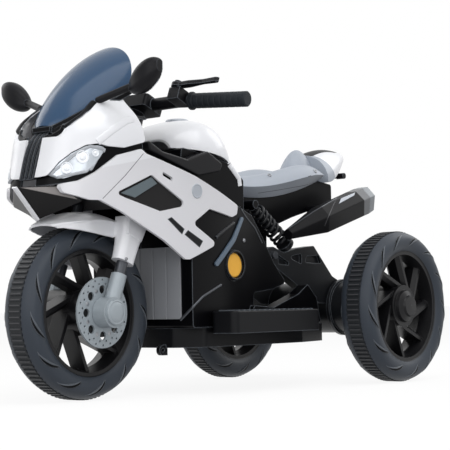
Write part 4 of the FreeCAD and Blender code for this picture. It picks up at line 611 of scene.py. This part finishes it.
def disc_rivets():
    low, high = boxes["brake_disc"]
    centre = middle("brake_disc")
    reach = (high.z - low.z) / 2 * DISC_RIVET_share
    mesh = bmesh.new()
    for turn in range(DISC_RIVETS):
        angle = 2 * math.pi * (turn + 0.5) / DISC_RIVETS
        place = Vector((centre.x + reach * math.cos(angle), high.y, centre.z + reach * math.sin(angle)))
        add_lathe(mesh, sized(RIVET_shares, DISC_RIVET_RADIUS), place, (0, 1, 0))
    piece("disc_rivets", mesh, "bolt", "front_wheel_spin")


def hub_covers():
    low, high = boxes["fork_legs"]
    centre = middle("front_wheel")
    mesh = bmesh.new()
    for side, y in zip(SIDES, (high.y, low.y)):
        add_lathe(mesh, HUB_COVER, Vector((centre.x, y, centre.z)), (0, side, 0), ROUND_TURNS)
    piece("hub_covers", mesh, "silver", "steering")


# Lines on both sides: the pixels on the left, then each line's node, paint, pixels, width and height
FAIRING_SEAM = ((143.4, 153.6), (125.4, 175.4), (102.8, 198.6))
SCREEN_BROW = ((41.5, 137.5), (50.0, 135.6), (60.0, 130.2), (70.0, 122.6), (80.0, 115.6), (88.0, 108.4),
               (94.0, 101.6))
COWL_RIDGE = ((97.5, 142.0), (113.1, 129.5), (126.0, 121.0), (133.0, 119.0))
TANK_TAIL = ((224.0, 158.5), (232.5, 169.0), (239.0, 178.6), (240.0, 186.0))
BODY_EDGE = ((239.5, 206.5), (245.5, 216.5), (255.0, 228.5), (262.0, 243.0))
MUFFLER_CREASE = ((288.0, 229.0), (313.8, 211.5), (337.0, 198.0))
MUFFLER_SEAM = ((324.5, 226.0), (331.5, 209.5), (337.0, 197.0))
SEAT_SEAM = ((258.0, 193.2), (280.0, 189.8), (304.7, 185.4), (325.0, 179.4))
FRAME_STRUT = ((216.0, 237.5), (224.5, 230.0), (233.5, 223.0))
BODY_CREASE = ((180.6, 320.0), (202.9, 296.6), (221.0, 285.0))
LINES = {
    "fairing_seams": ("left_side_fairing", "seam", FAIRING_SEAM, 0.0010, 0.0002),
    "screen_brows": ("left_nose_cowl", "black_gloss_and_groove_shade", SCREEN_BROW, 0.0100, 0.0022),
    "cowl_ridges": ("left_nose_cowl", "white", COWL_RIDGE, 0.0120, 0.0010),
    "tank_tails": ("left_body_half", "white", TANK_TAIL, 0.0110, 0.0020),
    # Paler metal ribs: painted highlight lines along the body edges and the muffler creases
    "body_edges": ("left_body_half", "steel", BODY_EDGE, 0.0030, 0.0014),
    "muffler_creases": ("mufflers", "steel", MUFFLER_CREASE, 0.0026, 0.0010),
    "muffler_seams": ("mufflers", "seam", MUFFLER_SEAM, 0.0016, 0.0002),
    "seat_seams": ("seat", "seam", SEAT_SEAM, 0.0012, 0.0002),
    "frame_struts": ("left_body_half", "black_sheen", FRAME_STRUT, 0.0060, 0.0030),
    # Paler metal rib: a painted highlight line along the body crease
    "body_creases": ("left_body_half", "steel", BODY_CREASE, 0.0050, 0.0022),
}


def side_lines():
    for name, (node, paint, pixels, width, height) in LINES.items():
        spots = traced(node, pixels)
        mesh = bmesh.new()
        for side in SIDES:
            add_ribbon(mesh, mirrored(spots, side), width, height)
        piece(name, mesh, paint, "chassis")


# Claw marks round both sides of each tyre: a dark hollow painted as the groove's shade, and a raised lip
# along its outer edge, painted paler as its highlight
CLAWS = 13
CLAW_STEPS = 12
CLAW_ARC = math.radians(21)
CLAW_BEND = 1.5
CLAW_OUTER_share = 0.955
CLAW_INNER_share = 0.805
CLAW_WIDTH = 0.0085
CLAW_HEIGHT = 0.0005
CLAW_TAPER_share = 0.9
LIP_WIDTH = 0.0032
LIP_HEIGHT = 0.0015
LIP_TAPER_share = 0.8
OUTSIDE = 1.0


def sidewall(name, side, angle, radius):
    centre = middle(name)
    place = centre + Vector((math.cos(angle) * radius, side * OUTSIDE, math.sin(angle) * radius))
    hit, facing, _, _ = tree_of(name).ray_cast(place, Vector((0, -side, 0)))
    return hit, (facing if facing.y * side > 0 else -facing)


def tyre_claws():
    for name, body in WHEELS.items():
        radius = wheel_radius(name)
        groove_shades, lips = bmesh.new(), bmesh.new()
        for side in SIDES:
            for claw in range(CLAWS):
                start = 2 * math.pi * claw / CLAWS
                route, edge = [], []
                for turn in range(CLAW_STEPS + 1):
                    share = turn / CLAW_STEPS
                    angle = start - share * CLAW_ARC
                    inward = (CLAW_INNER_share - CLAW_OUTER_share) * share ** CLAW_BEND
                    reach = (CLAW_OUTER_share + inward) * radius
                    route.append(sidewall(name, side, angle, reach))
                    edge.append(sidewall(name, side, angle + CLAW_WIDTH / 2 / radius, reach))
                # The hollow's dark paint is painted groove shade, the lip's paler paint is a painted
                # highlight
                add_ribbon(groove_shades, route, CLAW_WIDTH, CLAW_HEIGHT, CLAW_TAPER_share)
                add_ribbon(lips, edge, LIP_WIDTH, LIP_HEIGHT, LIP_TAPER_share)
        piece(f"{name}_claws", groove_shades, "black_gloss_and_groove_shade", body)
        piece(f"{name}_claw_lip_highlights", lips, "claw_lip_highlight", body)


# Headlamps: a pale frame round each lens, and three bulbs of different sizes on it
LENS_PIXELS = ((50.5, 175.0), (57.0, 177.6), (88.6, 170.8), (96.8, 164.4), (104.6, 149.4), (90.4, 146.0),
               (75.6, 153.8), (56.0, 169.4))
LENS_FRAME_WIDTH = 0.0050
LENS_FRAME_HEIGHT = 0.0010
BULB_PIXELS = ((82.5, 157.0), (66.5, 168.0), (95.5, 153.0))
BULB_RADII = (0.0105, 0.0095, 0.0060)
BULB_TURNS = 24
BULB_shares = ((0.0002, -0.0006), (1.0, -0.0006), (1.0, 0.0012), (0.90, 0.0016), (0.82, 0.0004),
               (0.50, 0.0002), (0.44, 0.0016), (0.25, 0.0024), (0.0002, 0.0026))


def lamp_frames():
    outline = traced("headlamp_lenses", LENS_PIXELS + LENS_PIXELS[:1])
    mesh = bmesh.new()
    for side in SIDES:
        add_ribbon(mesh, mirrored(outline, side), LENS_FRAME_WIDTH, LENS_FRAME_HEIGHT)
    piece("headlamp_frames", mesh, "lamp_frame", "chassis")


def add_turned(mesh, node, pixel, profile, turns):
    """A turned form on both sides, where the photograph shows it on the left."""
    spot = seen(node, pixel)
    for side in SIDES:
        for place, facing in mirrored([spot], side):
            add_lathe(mesh, profile, place, facing, turns)


def lamp_bulbs():
    mesh = bmesh.new()
    for pixel, radius in zip(BULB_PIXELS, BULB_RADII):
        add_turned(mesh, "headlamp_lenses", pixel, sized(BULB_shares, radius), BULB_TURNS)
    piece("headlamp_bulbs", mesh, "bulb", "chassis")


# Side lamps: a rounded ring stands round each lens
BEZEL_shares = ((1.02, -0.0008), (1.22, -0.0008), (1.22, 0.0030), (1.16, 0.0042), (1.08, 0.0042),
                (1.02, 0.0020))


def lamp_bezels():
    low, high = boxes["side_lamps"]
    profile = sized(BEZEL_shares, (high.z - low.z) / 2)
    centre = middle("side_lamps")
    mesh = bmesh.new()
    for side in SIDES:
        face = Vector((centre.x, side * high.y, centre.z))
        rows = []
        for turn in range(ROUND_TURNS + 1):
            angle = 2 * math.pi * turn / ROUND_TURNS
            out = Vector((math.cos(angle), 0, math.sin(angle)))
            rows.append([face + out * radius + Vector((0, side * height, 0)) for radius, height in profile])
        add_grid(mesh, rows, True, False)
    bmesh.ops.remove_doubles(mesh, verts=mesh.verts, dist=MERGE)
    piece("lamp_bezels", mesh, "black_gloss_and_groove_shade", "chassis")


# Fine ribs: one thin dark line along the middle of each tread tooth
TEETH = 96
RIB_WIDTH = 0.0012
RIB_HEIGHT = 0.0001
RIB_SPOTS = 5
PHASE_STEPS = 24


def tread_top(name, angle, y):
    centre = middle(name)
    out = Vector((math.cos(angle), 0, math.sin(angle)))
    start = centre + out * 2 * wheel_radius(name) + Vector((0, y, 0))
    place, _, _, _ = tree_of(name).ray_cast(start, -out)
    return place, out


def tooth_phase(name):
    """The angle of the middle of the first tooth, from where the band is highest within one pitch."""
    pitch = 2 * math.pi / TEETH
    reaches = []
    for turn in range(PHASE_STEPS):
        place, out = tread_top(name, pitch * turn / PHASE_STEPS, 0)
        reaches.append((place - middle(name)).dot(out))
    level = (max(reaches) + min(reaches)) / 2
    across, up = 0, 0
    for turn, reach in enumerate(reaches):
        if reach > level:
            across += math.cos(2 * math.pi * turn / PHASE_STEPS)
            up += math.sin(2 * math.pi * turn / PHASE_STEPS)
    return math.atan2(up, across) / (2 * math.pi) * pitch


def tread_ribs():
    for wheel, body in WHEELS.items():
        name = wheel.replace("wheel", "tread")
        low, high = boxes[name]
        half = (high.y - low.y) / 2 - 2 * RIB_WIDTH
        offsets = [half * (2 * turn / (RIB_SPOTS - 1) - 1) for turn in range(RIB_SPOTS)]
        phase = tooth_phase(name)
        mesh = bmesh.new()
        for tooth in range(TEETH):
            angle = phase + 2 * math.pi * tooth / TEETH
            add_ribbon(mesh, [tread_top(name, angle, y) for y in offsets], RIB_WIDTH, RIB_HEIGHT)
        piece(f"{name}_ribs", mesh, "seam", body)


# Beak: a white stem from its tip to its keel, and a lighter panel on each upper flank
STEM_WIDTH = 0.011
STEM_HEIGHT = 0.0028
STEM_STEPS = 8
PANEL_FOOT_share = 0.86
PANEL_TOP_share = 0.83
PANEL_LIFT = 0.0012


def beak_trim():
    corners = [vertex.co.copy() for vertex in nodes["nose_beak"].data.vertices]
    tip = max(corners, key=lambda corner: corner.x)
    keel = min(corners, key=lambda corner: corner.z)
    wing = max(corners, key=lambda corner: corner.y)
    upper = [corner for corner in corners if corner.z > tip.z - STEM_HEIGHT]
    shoulder = max(upper, key=lambda corner: corner.y)
    facing = Vector((tip.z - keel.z, 0, keel.x - tip.x)).normalized()
    stem = bmesh.new()
    spots = [(tip.lerp(keel, turn / STEM_STEPS), facing) for turn in range(STEM_STEPS + 1)]
    add_ribbon(stem, spots, STEM_WIDTH, STEM_HEIGHT)
    piece("beak_stem", stem, "white", "chassis")
    panels = bmesh.new()
    flank = (tip, shoulder, wing)
    heart = sum(flank, Vector()) / len(flank)
    outward = (shoulder - tip).cross(wing - tip).normalized()
    outward = outward if outward.y > 0 else -outward
    for side in SIDES:
        flip = Vector((1, side, 1))
        rows = [[(heart + (corner - heart) * share + outward * lift) * flip for corner in flank]
                for share, lift in ((PANEL_FOOT_share, -SINK), (PANEL_TOP_share, PANEL_LIFT))]
        add_grid(panels, rows, True, True)
    piece("beak_panels", panels, "taupe", "chassis")


# Plates on both sides: the corner pixels on the left, then each plate's node, paint, pixels and lift
DUCT_PIXELS = ((120.5, 193.0), (151.0, 177.3), (156.5, 183.6), (134.5, 197.6))
MUFFLER_PIXELS = ((338.6, 204.0), (341.0, 198.6), (355.0, 192.6), (354.0, 195.6))
FRONT_STRIPE_PIXELS = ((167.5, 219.0), (171.5, 217.0), (184.5, 229.0), (182.0, 234.5))
REAR_STRIPE_PIXELS = ((184.5, 234.5), (188.0, 230.0), (203.0, 241.0), (199.5, 247.5))
PLATES = {
    # The ducts' upper facets: a paler plate painted as the sheen where light falls on them
    "duct_painted_sheens": ("air_ducts", "painted_sheen_slate", DUCT_PIXELS, 0.0016),
    "muffler_plates": ("mufflers", "pale_silver", MUFFLER_PIXELS, 0.0008),
    "front_stripes": ("left_side_fairing", "black_satin", FRONT_STRIPE_PIXELS, 0.0003),
    "rear_stripes": ("left_side_fairing", "black_satin", REAR_STRIPE_PIXELS, 0.0003),
}
PLATE_COUNT = 8


def side_plates():
    for name, (node, paint, corners, lift) in PLATES.items():
        grid = sheet_grid(node, corners, PLATE_COUNT)
        mesh = bmesh.new()
        for side in SIDES:
            add_sheet(mesh, [mirrored(row, side) for row in grid], lift)
        piece(name, mesh, paint, "chassis")


# Screws and plain bosses on both sides: each set of screws has its node, body, pixels and radius
BOLT_TURNS = 12
BOLT_shares = ((0.0002, -0.0006), (1.0, -0.0006), (1.0, 0.0012), (0.82, 0.0022), (0.5, 0.0024),
               (0.46, 0.0012), (0.0002, 0.0012))
SEAT_SCREW_PIXELS = ((314.9, 171.3), (269.4, 175.6))
MUDGUARD_SCREW_PIXELS = ((126.0, 259.0),)
BODY_SCREW_PIXELS = ((243.7, 240.5),)
SCREWS = {
    "seat_screws": ("seat", "chassis", SEAT_SCREW_PIXELS, 0.0042),
    "mudguard_screws": ("front_mudguard", "steering", MUDGUARD_SCREW_PIXELS, 0.0028),
    "body_screws": ("left_body_half", "chassis", BODY_SCREW_PIXELS, 0.0036),
}
BOSS_PIXEL = (197.0, 191.0)
BOSS_RADIUS = 0.0125
BOSS_shares = ((0.0002, -0.0008), (1.0, -0.0008), (1.0, 0.0008), (0.92, 0.0014), (0.84, 0.0014),
               (0.80, 0.0008), (0.0002, 0.0012))


def side_screws():
    for name, (node, body, pixels, radius) in SCREWS.items():
        mesh = bmesh.new()
        for pixel in pixels:
            add_turned(mesh, node, pixel, sized(BOLT_shares, radius), BOLT_TURNS)
        piece(name, mesh, "bolt", body)


def plain_bosses():
    mesh = bmesh.new()
    add_turned(mesh, "left_side_fairing", BOSS_PIXEL, sized(BOSS_shares, BOSS_RADIUS), ROUND_TURNS)
    piece("fairing_bosses", mesh, "pale_silver", "chassis")


# Mudguard: side lips that hang from its edge beside the tyre, deepest near the fork.
# A lip's section starts under the guard, goes down its outside and comes up its inside.
GUARD_FROM = math.radians(61)
GUARD_TO = math.radians(126)
GUARD_STEPS = 24
GUARD_STEP_IN = 0.001
GUARD_CLEAR_share = 1.08
GUARD_RUN = 1.8
GUARD_DROP = 0.024
GUARD_WALL = 0.0030
GUARD_TUCK = 0.0002
GUARD_ROUND = 0.001
GUARD_ACROSS_shares = (-2, 0, 0.8, 1, 0.5, 0, -0.5)


def guard_edge(angle):
    """How far out the mudguard reaches at an angle round the wheel, and how far its edge is from the axle."""
    centre = middle("front_wheel")
    radius = wheel_radius("front_wheel")
    out = Vector((math.cos(angle), 0, math.sin(angle)))
    y = boxes["front_mudguard"][1].y
    while y > 0:
        start = centre + out * (2 * radius) + Vector((0, y, 0))
        hit, _, _, _ = tree_of("front_mudguard").ray_cast(start, -out)
        if hit is not None:
            reach = (hit - centre - Vector((0, y, 0))).length
            if reach > GUARD_CLEAR_share * radius:
                return y, reach
        y -= GUARD_STEP_IN
    return 0.0, radius


def guard_lips():
    centre = middle("front_wheel")
    mesh = bmesh.new()
    edges = []
    for turn in range(GUARD_STEPS + 1):
        angle = GUARD_FROM + (GUARD_TO - GUARD_FROM) * turn / GUARD_STEPS
        edges.append((angle, *guard_edge(angle)))
    for side in SIDES:
        rows = []
        for angle, y, reach in edges:
            out = Vector((math.cos(angle), 0, math.sin(angle)))
            run = min(1.0, (angle - GUARD_FROM) / (GUARD_TO - GUARD_FROM) * GUARD_RUN)
            low = reach - GUARD_DROP * math.sin(math.pi / 2 * run) - GUARD_WALL
            heights = (reach - GUARD_TUCK, reach - SINK, reach - GUARD_WALL, low, low - GUARD_ROUND, low,
                       reach - GUARD_WALL)
            rows.append([centre + out * height + Vector((0, side * (y + share * GUARD_WALL), 0))
                         for height, share in zip(heights, GUARD_ACROSS_shares)])
        add_grid(mesh, rows, True, True)
    piece("mudguard_lips", mesh, "white", "steering")


# Coil springs: a copy of the springs' mesh stands in for their node, which is hidden
def coil_springs():
    coils = bpy.data.objects.new("coil_springs", nodes["shock_springs"].data.copy())
    scene.collection.objects.link(coils)
    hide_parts("shock_springs")
    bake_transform(coils)


scene.view_settings.view_transform = "Standard"
make_camera()
make_world()
make_floor()
make_lamps()
dress_nodes()
disc_rivets()
hub_covers()
side_lines()
tyre_claws()
lamp_frames()
lamp_bulbs()
lamp_bezels()
tread_ribs()
beak_trim()
side_plates()
side_screws()
plain_bosses()
guard_lips()
coil_springs()
